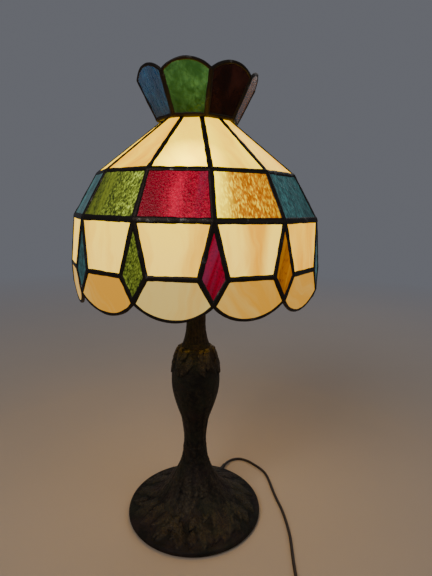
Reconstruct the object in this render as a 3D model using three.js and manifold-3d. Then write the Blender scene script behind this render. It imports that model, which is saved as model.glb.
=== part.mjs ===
// A table lamp with a twelve-sided leaded glass shade, an open glass crown on top and a cast bronze base.
// Millimetres, +Z up. The origin is the centre of the felt pad's underside. Angles around the lamp start
// at the front (-Y) and grow towards the right (+X).
import * as THREE from "three";
import { mergeVertices } from "three/addons/utils/BufferGeometryUtils.js";
import Module from "manifold-3d";

const wasm = await Module();
wasm.setup();

// ---- Driving dimensions ----
const GAP = 0.3; // between pieces that touch
const DEGREE = Math.PI / 180;

// Shade: the radius of each ring of corners and how far it lies below the top opening.
const SHADE_SIDES = 12;
const SHADE_FIRST_CORNER = -23.8 * DEGREE;
const TOP_R = 44;
const SHOULDER_R = 130.5;
const SHOULDER_DROP = 69;
const BAND_R = 161;
const BAND_DROP = 122;
const HEM_R = 165;
const HEM_DROP = 208.5;
const KITE_WAIST_DROP = 181.5;
const KITE_HALF_ANGLE = 5.24 * DEGREE;
const SCALLOP_DROP = 19.5;
const SCALLOP_STEPS = 6;
const SKIRT_SEAT = 0.4; // the skirt starts this far below the band's bottom seam

// Crown: the flared glass collar on the cone.
const CROWN_SIDES = 8;
const CROWN_FIRST_CORNER = -33.6 * DEGREE;
const CROWN_FOOT_OUT = 9.3; // out from the shade's top ring
const CROWN_FOOT_RISE = 1.2; // and above it
const CROWN_FLARE = 23.9;
const CROWN_HEIGHT = 45.4; // at its corners, without the arches
const CROWN_ARCH = 12.8;
const CROWN_STEPS = 5;

// Lead and glass.
const GLASS_THICK = 3;
const LEAD_HALF_THICK = 2.5;
const SEAM_HALF_WIDTH = 3;
const FINE_SEAM_HALF_WIDTH = 2.5;
const HEM_LEAD_WIDTH = 3.5;
const FACE_LEAD_THICK = 1.5; // lead strips that lie on the skirt's and crown's glass
const FACE_GLASS_INNER = -2; // inner face of those two glasses, from the seam's middle surface
const FACE_GLASS_OUTER = 0.6;

// Base and stem.
const BASE_R = 101.5;
const FELT_MARGIN = 4.5; // inside the foot's edge
const FELT_THICK = 1.5;
const RIM_TOP = 7.5;
const TRUNK_R = 16.6;
const TRUNK_TOP = 112;
const VASE_R = 35.5;
const VASE_TOP = 268;
const NECK_R = 13.4;
const NECK_TOP = 358;
const CAST_WALL = 4;
const END_WALL = 8; // the thick end of each casting, around the pipe
const PIPE_R = 5.1;
const PIPE_BORE_R = 3.5;
const PIPE_CLEARANCE = 0.4;
const NUT_R = 10;
const NUT_THICK = 5;
const CHECK_RING_R = 15;
const CHECK_RING_THICK = 2;

// Harp and saddle.
const SADDLE_THICK = 2.5;
const SADDLE_WIDTH = 14;
const HARP_FOOT_X = 26;
const HARP_HALF_WIDTH = 56;
const HARP_HEIGHT = 216.4; // from the saddle's underside to the top of the bow
const HARP_WIRE_R = 2.2;
const HARP_PEG = 12; // length of each saddle arm above its corner
const SLEEVE_LENGTH = 13;
const SLEEVE_WALL = 1;
const SLEEVE_CLEARANCE = 0.4;
const STUD_R = 3.1;

// Socket and bulb.
const SOCKET_CAP_HEIGHT = 14;
const SOCKET_HEIGHT = 61;
const SHELL_WALL = 1.2;
const LINER_ROOM = 1.6; // for the paper liner between the shell and what it covers
const CONTACT_R = 3.5;
const CONTACT_HEIGHT = 1.6;
const CORE_HEIGHT = 17;
const SCREW_SHELL_WALL = 0.7;
const BULB_CAP_R = 13;
const BULB_CAP_CLEARANCE = 0.7;
const BULB_CAP_HEIGHT = 22;
const BULB_R = 30;
const BULB_LENGTH = 109;
const BULB_WALL = 1;
const KNOB_R = 6;
const KNOB_LENGTH = 13;
const KNOB_SHAFT_R = 2;

// Vase cap and finial.
const CAP_MARGIN = 2; // the plate is this much wider than the shade's top ring
const CAP_THICK = 1.2;
const CAP_VENTS = 6;
const VENT_R = 4;
const FINIAL_INSERT_R = 5;
const FINIAL_INSERT_HEIGHT = 8;
const FINIAL_R = 9;
const FINIAL_HEIGHT = 22;

// Cord and plug.
const CORD_R = 2.1;
const CORD_LENGTH = 1800;
const CORD_EXIT_ANGLE = 152.2 * DEGREE;
const BUSHING_REACH = 12.5; // how far the strain relief stands out of the foot
const BUSHING_LENGTH = 24;
const BUSHING_COLLAR_WALL = 1;
const BUSHING_END_WALL = 0.5;
const CORD_CLEARANCE = 0.3;
const COIL_ENTRY = { x: 129.4, y: -191 };
const COIL_LIFT = 0.9; // the tie passes under the coil
const COIL_LAYERS = 4;
const COIL_TURNS = 9.25;
const COIL_PITCH = 4.3;
const TAIL_DROP = 8.5;
const TAIL_REACH = 46;
const TIE_WIDTH = 4;
const TIE_THICK = 0.6;
const PLUG_LENGTH = 26;
const PLUG_WIDTH = 22;
const PLUG_THICK = 14;
const BLADE_LENGTH = 17;
const BLADE_WIDTH = 6.3;
const BLADE_THICK = 1.5;
const BLADE_SPACING = 12.7;

// ---- Materials ----
const finish = (color, roughness, metalness) => ({ color, roughness, metalness });
const BRONZE = finish(0x3a2b22, 0.55, 0.7);
const BRASS = finish(0xb08d4a, 0.35, 1);
const STEEL = finish(0x8f8f8c, 0.4, 1);
const LEAD = finish(0x2a2420, 0.45, 0.8);
const CREAM_GLASS = finish(0xf0dcae, 0.25, 0);
const BAND_GLASSES = [
  { name: "teal", look: finish(0x1e8f96, 0.2, 0) },
  { name: "green", look: finish(0x6f9a1c, 0.2, 0) },
  { name: "red", look: finish(0xa8102a, 0.2, 0) },
  { name: "amber", look: finish(0xe09a14, 0.2, 0) },
];
const BLACK_PLASTIC = finish(0x1c1a18, 0.5, 0);
const CORD_PLASTIC = finish(0x33231a, 0.5, 0);
const FELT = finish(0x3c4a35, 0.95, 0);
const FROSTED_GLASS = finish(0xfff4dc, 0.3, 0);

const lamp = new THREE.Group();

function add(name, geometry, look, parent = lamp) {
  const mesh = new THREE.Mesh(geometry, new THREE.MeshStandardMaterial(look));
  mesh.name = name;
  parent.add(mesh);
  return mesh;
}

// ---- Heights and radii that follow from the sizes above ----
const CAST_FOOT = FELT_THICK + GAP;
const PIPE_HOLE_R = PIPE_R + PIPE_CLEARANCE;
const LOWER_NUT_TOP = TRUNK_TOP - END_WALL - GAP;
const PIPE_BOTTOM = LOWER_NUT_TOP - NUT_THICK - 4;
const CHECK_RING_LOW = NECK_TOP + GAP;
const SADDLE_LOW = CHECK_RING_LOW + CHECK_RING_THICK + GAP;
const SADDLE_CORNER_Z = SADDLE_LOW + SADDLE_THICK + 6;
const SOCKET_LOW = SADDLE_LOW + SADDLE_THICK + GAP;
const PIPE_TOP = SOCKET_LOW + 6;
const HARP_FOOT_Z = SADDLE_CORNER_Z + HARP_PEG + GAP;
const HARP_TOP = SADDLE_LOW + HARP_HEIGHT;
const TOP_Z = HARP_TOP - 1; // the shade's top ring
const SOCKET_SEAM = SOCKET_LOW + SOCKET_CAP_HEIGHT;
const SOCKET_TOP = SOCKET_LOW + SOCKET_HEIGHT;
const SCREW_SHELL_BORE_R = BULB_CAP_R + BULB_CAP_CLEARANCE;
const SCREW_SHELL_R = SCREW_SHELL_BORE_R + SCREW_SHELL_WALL;
const SHELL_BORE_R = SCREW_SHELL_R + LINER_ROOM;
const SHELL_R = SHELL_BORE_R + SHELL_WALL;
const CORE_LOW = SOCKET_SEAM + 2;
const CORE_TOP = CORE_LOW + CORE_HEIGHT;
const SCREW_SHELL_LOW = CORE_TOP + GAP;
const KNOB_Z = (SOCKET_SEAM + CORE_TOP) / 2 + 2;
const BULB_TIP = CORE_TOP + CONTACT_HEIGHT + GAP;
const BULB_CAP_LOW = BULB_TIP + 2 + GAP;
const BULB_NECK_LOW = BULB_CAP_LOW + BULB_CAP_HEIGHT + GAP;
const BULB_TOP = BULB_TIP + BULB_LENGTH;
const BUSHING_COLLAR_R = CORD_R + CORD_CLEARANCE + BUSHING_COLLAR_WALL;
const BUSHING_TIP_R = BASE_R + BUSHING_REACH;
const CORD_EXIT_Z = CAST_FOOT + BUSHING_COLLAR_R + GAP + 0.1;

// ---- Shape helpers ----
function polar(r, angle, z) {
  return new THREE.Vector3(r * Math.sin(angle), -r * Math.cos(angle), z);
}

// A solid of revolution about Z from [radius, height] pairs that start and end on the axis or close.
function lathe(profile, segments) {
  const area = profile.reduce((sum, [r, z], i) => {
    const [r2, z2] = profile[(i + 1) % profile.length];
    return sum + r * z2 - r2 * z;
  }, 0);
  const ordered = area > 0 ? profile : [...profile].reverse();
  const points = ordered.map(([r, z]) => new THREE.Vector2(r, z));
  return new THREE.LatheGeometry(points, segments).rotateX(Math.PI / 2);
}

// A ring or hollow post: the outline goes round once and closes.
function closed(profile) {
  return [...profile, profile[0]];
}

function tubeRing(innerR, outerR, low, high, segments) {
  return lathe(closed([[innerR, low], [outerR, low], [outerR, high], [innerR, high]]), segments);
}

function disc(r, low, high, segments) {
  return lathe([[0, low], [r, low], [r, high], [0, high]], segments);
}

// A casting turned from an outer profile, hollow with a roughly even wall that follows every other point,
// and bored for the pipe at its closed ends.
function hollowCasting(outer, bore, wall, bottomEnd, topEnd) {
  const low = outer[0][1];
  const high = outer[outer.length - 1][1];
  const inside = outer
    .filter(([, z], i) => i % 2 === 0 && z > low + bottomEnd && z < high - topEnd)
    .map(([r, z]) => [Math.max(r - wall, bore + 1), z])
    .reverse();
  const [topR] = inside[0];
  const [bottomR] = inside[inside.length - 1];
  return closed([
    ...outer,
    [bore, high],
    [bore, high - topEnd],
    [topR, high - topEnd],
    ...inside,
    [bottomR, low + bottomEnd],
    [bore, low + bottomEnd],
    [bore, low],
  ]);
}

// Carries a round section along a curve.
function wire(curve, r, sides, steps) {
  const section = new THREE.Shape();
  for (let i = 0; i < sides; i++) {
    const a = (2 * Math.PI * i) / sides;
    if (i === 0) section.moveTo(r, 0);
    else section.lineTo(r * Math.cos(a), r * Math.sin(a));
  }
  section.closePath();
  return new THREE.ExtrudeGeometry(section, { steps, extrudePath: curve, bevelEnabled: false });
}

function manifoldOf(geometry) {
  const plain = geometry.index ? geometry.toNonIndexed() : geometry.clone();
  plain.deleteAttribute("normal");
  plain.deleteAttribute("uv");
  const merged = mergeVertices(plain, 1e-4);
  return new wasm.Manifold(
    new wasm.Mesh({
      numProp: 3,
      vertProperties: merged.attributes.position.array,
      triVerts: new Uint32Array(merged.index.array),
    }),
  );
}

function geometryOf(manifold) {
  const mesh = manifold.getMesh();
  return new THREE.BufferGeometry()
    .setAttribute("position", new THREE.BufferAttribute(mesh.vertProperties, mesh.numProp))
    .setIndex(new THREE.BufferAttribute(mesh.triVerts, 1));
}

const cut = (geometry, tool) => geometryOf(manifoldOf(geometry).subtract(manifoldOf(tool)));
const join = (...geometries) =>
  geometryOf(geometries.map(manifoldOf).reduce((whole, next) => whole.add(next)));

// ---- Leaded panes ----
// A net holds corner points and panes. A pane lists its corners anticlockwise from outside, and how far
// each of its edges is covered by lead.
function paneNormal(net, pane) {
  const normal = new THREE.Vector3();
  pane.corners.forEach((corner, i) => {
    const a = net.points[corner];
    const b = net.points[pane.corners[(i + 1) % pane.corners.length]];
    normal.x += (a.y - b.y) * (a.z + b.z);
    normal.y += (a.z - b.z) * (a.x + b.x);
    normal.z += (a.x - b.x) * (a.y + b.y);
  });
  return normal.normalize();
}

// The corners of a pane with each edge moved inwards by its lead plus an extra margin.
function insetCorners(net, pane, extra = 0) {
  const normal = paneNormal(net, pane);
  const count = pane.corners.length;
  const lines = pane.corners.map((corner, i) => {
    const a = net.points[corner];
    const along = net.points[pane.corners[(i + 1) % count]].clone().sub(a).normalize();
    const inward = normal.clone().cross(along);
    return { start: a.clone().addScaledVector(inward, pane.lead[i] + extra), along, inward };
  });
  return lines.map((line, i) => {
    const before = lines[(i + count - 1) % count];
    const apart = line.start.clone().sub(before.start).dot(line.inward);
    return before.start.clone().addScaledVector(before.along, apart / before.along.dot(line.inward));
  });
}

// Every corner's point moved off the middle surface by a distance, measured square to its panes.
function offsetPoints(net, distance) {
  const sums = net.points.map(() => new THREE.Vector3());
  net.panes.forEach((pane) => {
    const normal = paneNormal(net, pane);
    pane.corners.forEach((corner) => sums[corner].add(normal));
  });
  return net.points.map((point, i) => {
    const direction = net.directions[i] ?? sums[i].clone().normalize();
    const shared = net.panes.filter((pane) => pane.corners.includes(i));
    const square = shared.reduce((sum, pane) => sum + paneNormal(net, pane).dot(direction), 0);
    return point.clone().addScaledVector(direction, (distance * shared.length) / square);
  });
}

function meshOfFaces(faces) {
  const values = [];
  faces.forEach((face) => {
    for (let i = 1; i + 1 < face.length; i++) {
      [face[0], face[i], face[i + 1]].forEach((p) => values.push(p.x, p.y, p.z));
    }
  });
  return new THREE.BufferGeometry().setAttribute(
    "position",
    new THREE.Float32BufferAttribute(values, 3),
  );
}

// Walls along the edges that only one pane has.
function openEdgeWalls(net, inner, outer) {
  const edges = new Set();
  net.panes.forEach(({ corners }) =>
    corners.forEach((a, i) => edges.add(a + "," + corners[(i + 1) % corners.length])),
  );
  return [...edges]
    .map((edge) => edge.split(",").map(Number))
    .filter(([a, b]) => !edges.has(b + "," + a))
    .map(([a, b]) => [outer[b], outer[a], inner[a], inner[b]]);
}

// One connected lead lattice with a window for each pane.
function leadLattice(net, low, high) {
  const inner = offsetPoints(net, low);
  const outer = offsetPoints(net, high);
  const faces = openEdgeWalls(net, inner, outer);
  net.panes.forEach((pane) => {
    const normal = paneNormal(net, pane);
    const window = insetCorners(net, pane);
    const windowOut = window.map((p) => p.clone().addScaledVector(normal, high));
    const windowIn = window.map((p) => p.clone().addScaledVector(normal, low));
    pane.corners.forEach((a, i) => {
      const j = (i + 1) % pane.corners.length;
      const b = pane.corners[j];
      faces.push([outer[a], outer[b], windowOut[j], windowOut[i]]);
      faces.push([windowIn[i], windowIn[j], inner[b], inner[a]]);
      faces.push([windowOut[i], windowOut[j], windowIn[j], windowIn[i]]);
    });
  });
  return meshOfFaces(faces);
}

// Joined panes as one faceted shell.
function glassShell(net, low, high) {
  const inner = offsetPoints(net, low);
  const outer = offsetPoints(net, high);
  const faces = openEdgeWalls(net, inner, outer);
  net.panes.forEach(({ corners }) => {
    faces.push(corners.map((i) => outer[i]));
    faces.push([...corners].reverse().map((i) => inner[i]));
  });
  return meshOfFaces(faces);
}

// One loose pane that fits its window with the gap all round.
function paneGeometry(net, pane) {
  const normal = paneNormal(net, pane);
  const rim = insetCorners(net, pane, GAP);
  const outer = rim.map((p) => p.clone().addScaledVector(normal, GLASS_THICK / 2));
  const inner = rim.map((p) => p.clone().addScaledVector(normal, -GLASS_THICK / 2));
  const walls = rim.map((_, i) => {
    const j = (i + 1) % rim.length;
    return [outer[j], outer[i], inner[i], inner[j]];
  });
  return meshOfFaces([outer, [...inner].reverse(), ...walls]);
}

// Points of an arc from a to b that bulges by a rise towards a side, without its two ends.
function arcBetween(a, b, side, rise, steps) {
  const half = a.distanceTo(b) / 2;
  const radius = (half * half + rise * rise) / (2 * rise);
  const sweep = Math.asin(half / radius);
  const middle = a.clone().add(b).multiplyScalar(0.5);
  const along = b.clone().sub(a).normalize();
  return Array.from({ length: steps - 1 }, (_, i) => {
    const t = -sweep + (2 * sweep * (i + 1)) / steps;
    return middle
      .clone()
      .addScaledVector(along, radius * Math.sin(t))
      .addScaledVector(side, radius * Math.cos(t) - radius + rise);
  });
}

const shadeAngle = (corner) => SHADE_FIRST_CORNER + (corner * 2 * Math.PI) / SHADE_SIDES;

// Direction in the upright plane through a corner that leans out by an angle above the level.
function leaning(angle, lean) {
  return polar(Math.cos(lean), angle, Math.sin(lean));
}

const BAND_Z = TOP_Z - BAND_DROP;
const CONE_LEAN = Math.atan2(SHOULDER_R - TOP_R, SHOULDER_DROP);
const BAND_LEAN = Math.atan2(BAND_R - SHOULDER_R, BAND_DROP - SHOULDER_DROP);
const SKIRT_LEAN = Math.atan2(HEM_R - BAND_R, HEM_DROP - BAND_DROP);
const BAND_SEAM_LEAN = (BAND_LEAN + SKIRT_LEAN) / 2;

// Cone and band: three rings of corners, two rows of panes.
function upperNet() {
  const net = { points: [], panes: [], directions: [] };
  const rings = [
    [TOP_R, TOP_Z],
    [SHOULDER_R, TOP_Z - SHOULDER_DROP],
    [BAND_R, BAND_Z],
  ];
  rings.forEach(([r, z], row) => {
    for (let k = 0; k < SHADE_SIDES; k++) {
      net.points.push(polar(r, shadeAngle(k), z));
      if (row === 2) net.directions[net.points.length - 1] = leaning(shadeAngle(k), BAND_SEAM_LEAN);
    }
  });
  const side = (row, k) => row * SHADE_SIDES + (k % SHADE_SIDES);
  for (let row = 0; row < 2; row++) {
    for (let k = 0; k < SHADE_SIDES; k++) {
      net.panes.push({
        corners: [side(row + 1, k), side(row + 1, k + 1), side(row, k + 1), side(row, k)],
        lead: Array(4).fill(SEAM_HALF_WIDTH),
        row,
        side: k,
      });
    }
  }
  return net;
}

// Skirt: on each side a trapezoid over a scallop, and a kite on each corner.
function skirtNet() {
  const net = { points: [], panes: [], directions: [] };
  const put = (point, direction) => {
    net.points.push(point);
    if (direction) net.directions[net.points.length - 1] = direction;
    return net.points.length - 1;
  };
  const slope = Math.tan(SKIRT_LEAN);
  const seatZ = BAND_Z - SKIRT_SEAT;
  const seatR = BAND_R + slope * SKIRT_SEAT;
  const waistZ = TOP_Z - KITE_WAIST_DROP;
  const waistR = (BAND_R + slope * (BAND_Z - waistZ)) / Math.cos(KITE_HALF_ANGLE);
  const tops = [];
  const hems = [];
  const lefts = [];
  const rights = [];
  for (let k = 0; k < SHADE_SIDES; k++) {
    const angle = shadeAngle(k);
    tops.push(put(polar(seatR, angle, seatZ), leaning(angle, BAND_SEAM_LEAN)));
    hems.push(put(polar(HEM_R, angle, TOP_Z - HEM_DROP)));
    lefts.push(put(polar(waistR, angle - KITE_HALF_ANGLE, waistZ)));
    rights.push(put(polar(waistR, angle + KITE_HALF_ANGLE, waistZ)));
  }
  for (let k = 0; k < SHADE_SIDES; k++) {
    const next = (k + 1) % SHADE_SIDES;
    const topMiddle = net.points[rights[k]].clone().add(net.points[lefts[next]]);
    const hemMiddle = net.points[hems[k]].clone().add(net.points[hems[next]]);
    const down = hemMiddle.sub(topMiddle).normalize();
    const hem = arcBetween(
      net.points[hems[k]],
      net.points[hems[next]],
      down,
      SCALLOP_DROP,
      SCALLOP_STEPS,
    ).map((point) => put(point));
    net.panes.push({
      corners: [rights[k], lefts[next], tops[next], tops[k]],
      lead: [FINE_SEAM_HALF_WIDTH, FINE_SEAM_HALF_WIDTH, SEAM_HALF_WIDTH, FINE_SEAM_HALF_WIDTH],
    });
    net.panes.push({
      corners: [hems[k], rights[k], tops[k], lefts[k]],
      lead: Array(4).fill(FINE_SEAM_HALF_WIDTH),
    });
    net.panes.push({
      corners: [hems[k], ...hem, hems[next], lefts[next], rights[k]],
      lead: [...Array(SCALLOP_STEPS).fill(HEM_LEAD_WIDTH), ...Array(3).fill(FINE_SEAM_HALF_WIDTH)],
    });
  }
  return net;
}

// Crown: one ring of panes that flare out, each with an arched top.
function crownNet() {
  const net = { points: [], panes: [], directions: [] };
  const angleOf = (k) => CROWN_FIRST_CORNER + (k * 2 * Math.PI) / CROWN_SIDES;
  const footR = TOP_R + CROWN_FOOT_OUT;
  const footZ = TOP_Z + CROWN_FOOT_RISE;
  for (let k = 0; k < CROWN_SIDES; k++) {
    net.points.push(polar(footR, angleOf(k), footZ));
    net.points.push(polar(footR + CROWN_FLARE, angleOf(k), footZ + CROWN_HEIGHT));
  }
  for (let k = 0; k < CROWN_SIDES; k++) {
    const next = (k + 1) % CROWN_SIDES;
    const [footA, rimA] = [2 * k, 2 * k + 1];
    const [footB, rimB] = [2 * next, 2 * next + 1];
    const up = net.points[rimA].clone().add(net.points[rimB]);
    up.sub(net.points[footA]).sub(net.points[footB]).normalize();
    const arch = arcBetween(net.points[rimB], net.points[rimA], up, CROWN_ARCH, CROWN_STEPS);
    const first = net.points.length;
    net.points.push(...arch);
    net.panes.push({
      corners: [footA, footB, rimB, ...arch.map((_, i) => first + i), rimA],
      lead: [
        HEM_LEAD_WIDTH,
        FINE_SEAM_HALF_WIDTH,
        ...Array(CROWN_STEPS).fill(HEM_LEAD_WIDTH),
        FINE_SEAM_HALF_WIDTH,
      ],
    });
  }
  return net;
}

function buildShade() {
  const upper = upperNet();
  add("shade_lead", leadLattice(upper, -LEAD_HALF_THICK, LEAD_HALF_THICK), LEAD);
  upper.panes.forEach((pane) => {
    const number = String(pane.side + 1).padStart(2, "0");
    const colour = BAND_GLASSES[(pane.side + 2) % BAND_GLASSES.length];
    if (pane.row === 0) add("cone_glass_" + number, paneGeometry(upper, pane), CREAM_GLASS);
    else add("band_glass_" + number + "_" + colour.name, paneGeometry(upper, pane), colour.look);
  });
  const faceLeadLow = FACE_GLASS_OUTER + GAP;
  const faceLeadHigh = faceLeadLow + FACE_LEAD_THICK;
  const skirt = skirtNet();
  add("skirt_glass", glassShell(skirt, FACE_GLASS_INNER, FACE_GLASS_OUTER), CREAM_GLASS);
  add("skirt_lead", leadLattice(skirt, faceLeadLow, faceLeadHigh), LEAD);
  const crown = crownNet();
  add("crown_glass", glassShell(crown, FACE_GLASS_INNER, FACE_GLASS_OUTER), BAND_GLASSES[0].look);
  add("crown_lead", leadLattice(crown, faceLeadLow, faceLeadHigh), LEAD);
}

// The shade hangs from this vented plate, which sits on the lead ring round the top opening.
const CAP_R = TOP_R + CAP_MARGIN;
const CAP_SEAT_Z = TOP_Z + LEAD_HALF_THICK / Math.sin(CONE_LEAN) + 2 * GAP;

const FINIAL_LOW = CAP_SEAT_Z + CAP_THICK + GAP;

function buildVaseCap() {
  const plate = new THREE.Shape().absarc(0, 0, CAP_R, 0, 2 * Math.PI);
  const hole = (x, y, r) => new THREE.Path().absarc(x, y, r, 0, 2 * Math.PI, true);
  plate.holes.push(hole(0, 0, STUD_R + PIPE_CLEARANCE));
  for (let i = 0; i < CAP_VENTS; i++) {
    const a = (2 * Math.PI * i) / CAP_VENTS;
    plate.holes.push(hole(0.6 * CAP_R * Math.cos(a), 0.6 * CAP_R * Math.sin(a), VENT_R));
  }
  const geometry = new THREE.ExtrudeGeometry(plate, {
    depth: CAP_THICK,
    bevelEnabled: false,
    curveSegments: 6,
  });
  add("vase_cap", geometry.translate(0, 0, CAP_SEAT_Z), BRASS);
}

function buildFinial() {
  const low = FINIAL_LOW;
  const bore = STUD_R + PIPE_CLEARANCE;
  const high = low + FINIAL_INSERT_HEIGHT;
  add("finial_insert", tubeRing(bore, FINIAL_INSERT_R, low, high, 16), BRASS);
  const pocket = FINIAL_INSERT_R + PIPE_CLEARANCE;
  const top = low + FINIAL_HEIGHT;
  const shoulder = (high + top) / 2;
  add(
    "finial_knob",
    lathe(
      [
        [0, high + GAP],
        [pocket, high + GAP],
        [pocket, low],
        [pocket + 1.6, low],
        [pocket + 1, low + 2.5],
        [FINIAL_R, high],
        [FINIAL_R, shoulder],
        [FINIAL_R * 0.55, top - 2],
        [0, top],
      ],
      16,
    ),
    BRASS,
  );
}

// ---- Base and stem ----
function alongExit(distance, z) {
  return polar(distance, CORD_EXIT_ANGLE, z);
}

// Turns a shape made along +Z so that it points outwards along the cord's exit.
function laidOutwards(geometry, start) {
  const aim = new THREE.Quaternion().setFromUnitVectors(
    new THREE.Vector3(0, 0, 1),
    alongExit(1, 0).normalize(),
  );
  return geometry.applyQuaternion(aim).translate(...alongExit(start, CORD_EXIT_Z).toArray());
}

function buildBase() {
  add("felt_pad", disc(BASE_R - FELT_MARGIN, 0, FELT_THICK, 32), FELT);
  // The dish and trunk, as shares of the way out from the trunk to the rim and up from rim to trunk top.
  const shelfR = BASE_R - 6;
  const shelfZ = RIM_TOP + 3;
  const dish = [
    [0.9, 0.03],
    [0.74, 0.074],
    [0.59, 0.128],
    [0.46, 0.192],
    [0.35, 0.276],
    [0.256, 0.37],
    [0.17, 0.497],
    [0.077, 0.66],
    [0.025, 0.823],
  ].map(([out, up]) => [
    TRUNK_R + out * (shelfR - TRUNK_R),
    shelfZ + up * (TRUNK_TOP - shelfZ),
  ]);
  const ceiling = dish.map(([r, z]) => [r - 0.75 * CAST_WALL, z - 0.75 * CAST_WALL]).reverse();
  const trunkBore = TRUNK_R - CAST_WALL;
  const skin = closed([
    [BASE_R, CAST_FOOT],
    [BASE_R, RIM_TOP],
    [BASE_R - 2, RIM_TOP + 2.1],
    [shelfR, shelfZ],
    ...dish,
    [TRUNK_R, TRUNK_TOP],
    [PIPE_HOLE_R, TRUNK_TOP],
    [PIPE_HOLE_R, TRUNK_TOP - END_WALL],
    [trunkBore, TRUNK_TOP - END_WALL],
    ...ceiling,
    [BASE_R - CAST_WALL, RIM_TOP + 0.5],
    [BASE_R - CAST_WALL, CAST_FOOT],
  ]);
  const hole = disc(BUSHING_COLLAR_R + GAP, -BUSHING_LENGTH / 2, CAST_WALL, 12);
  add("base_casting", cut(lathe(skin, 28), laidOutwards(hole, BASE_R)), BRONZE);
}

function buildStem() {
  // Each outline gives a radius and a share of the piece's height.
  const vaseLow = TRUNK_TOP + GAP;
  const vase = [
    [TRUNK_R, 0],
    [TRUNK_R - 0.2, 0.09],
    [TRUNK_R + 1.9, 0.21],
    [0.59 * VASE_R, 0.295],
    [0.71 * VASE_R, 0.37],
    [0.845 * VASE_R, 0.467],
    [0.945 * VASE_R, 0.563],
    [0.997 * VASE_R, 0.66],
    [VASE_R, 0.743],
    [0.97 * VASE_R, 0.833],
    [0.89 * VASE_R, 0.897],
    [0.79 * VASE_R, 0.953],
    [0.705 * VASE_R, 1],
  ].map(([r, up]) => [r, vaseLow + up * (VASE_TOP - vaseLow)]);
  const neckLow = VASE_TOP + GAP;
  const neck = [
    [NECK_R + 8.1, 0],
    [NECK_R + 3, 0.13],
    [NECK_R + 0.4, 0.3],
    [NECK_R, 0.5],
    [NECK_R + 0.2, 0.71],
    [NECK_R + 1.6, 0.866],
    [NECK_R + 4.1, 0.955],
    [NECK_R + 4.1, 1],
  ].map(([r, up]) => [r, neckLow + up * (NECK_TOP - neckLow)]);
  const vaseProfile = hollowCasting(vase, PIPE_HOLE_R, CAST_WALL, END_WALL, END_WALL);
  add("stem_vase", lathe(vaseProfile, 20), BRONZE);
  const neckProfile = hollowCasting(neck, PIPE_HOLE_R, CAST_WALL, END_WALL, END_WALL);
  add("stem_neck", lathe(neckProfile, 16), BRONZE);
}

// Hardware stacked along the pipe.
function buildPipe() {
  const hexagon = new THREE.Shape(
    Array.from({ length: 6 }, (_, i) => {
      const a = (i * Math.PI) / 3;
      return new THREE.Vector2(NUT_R * Math.cos(a), NUT_R * Math.sin(a));
    }),
  );
  hexagon.holes.push(new THREE.Path().absarc(0, 0, PIPE_HOLE_R, 0, 2 * Math.PI, true));
  const nut = new THREE.ExtrudeGeometry(hexagon, {
    depth: NUT_THICK,
    bevelEnabled: false,
    curveSegments: 8,
  });
  add("lower_nut", nut.translate(0, 0, LOWER_NUT_TOP - NUT_THICK), STEEL);
  add("threaded_pipe", tubeRing(PIPE_BORE_R, PIPE_R, PIPE_BOTTOM, PIPE_TOP, 16), STEEL);
  add(
    "check_ring",
    tubeRing(PIPE_HOLE_R, CHECK_RING_R, CHECK_RING_LOW, CHECK_RING_LOW + CHECK_RING_THICK, 20),
    BRASS,
  );
}

// ---- Harp and saddle ----
function buildSaddle() {
  const strap = new THREE.Shape();
  const outerX = HARP_FOOT_X + SADDLE_THICK / 2;
  const innerX = HARP_FOOT_X - SADDLE_THICK / 2;
  strap.moveTo(-outerX, SADDLE_CORNER_Z);
  strap.lineTo(-outerX + 4, SADDLE_LOW);
  strap.lineTo(outerX - 4, SADDLE_LOW);
  strap.lineTo(outerX, SADDLE_CORNER_Z);
  strap.lineTo(innerX, SADDLE_CORNER_Z);
  strap.lineTo(innerX - 4, SADDLE_LOW + SADDLE_THICK);
  strap.lineTo(-innerX + 4, SADDLE_LOW + SADDLE_THICK);
  strap.lineTo(-innerX, SADDLE_CORNER_Z);
  strap.closePath();
  const bent = new THREE.ExtrudeGeometry(strap, { depth: SADDLE_WIDTH, bevelEnabled: false })
    .rotateX(Math.PI / 2)
    .translate(0, SADDLE_WIDTH / 2, 0);
  const pegs = [-1, 1].map((side) =>
    disc(HARP_WIRE_R, SADDLE_CORNER_Z - 1, SADDLE_CORNER_Z + HARP_PEG, 10).translate(
      side * HARP_FOOT_X,
      0,
      0,
    ),
  );
  const bore = disc(PIPE_HOLE_R, SADDLE_LOW - 1, SADDLE_LOW + SADDLE_THICK + 1, 16);
  add("harp_saddle", cut(join(bent, ...pegs), bore), BRASS);
}

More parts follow.
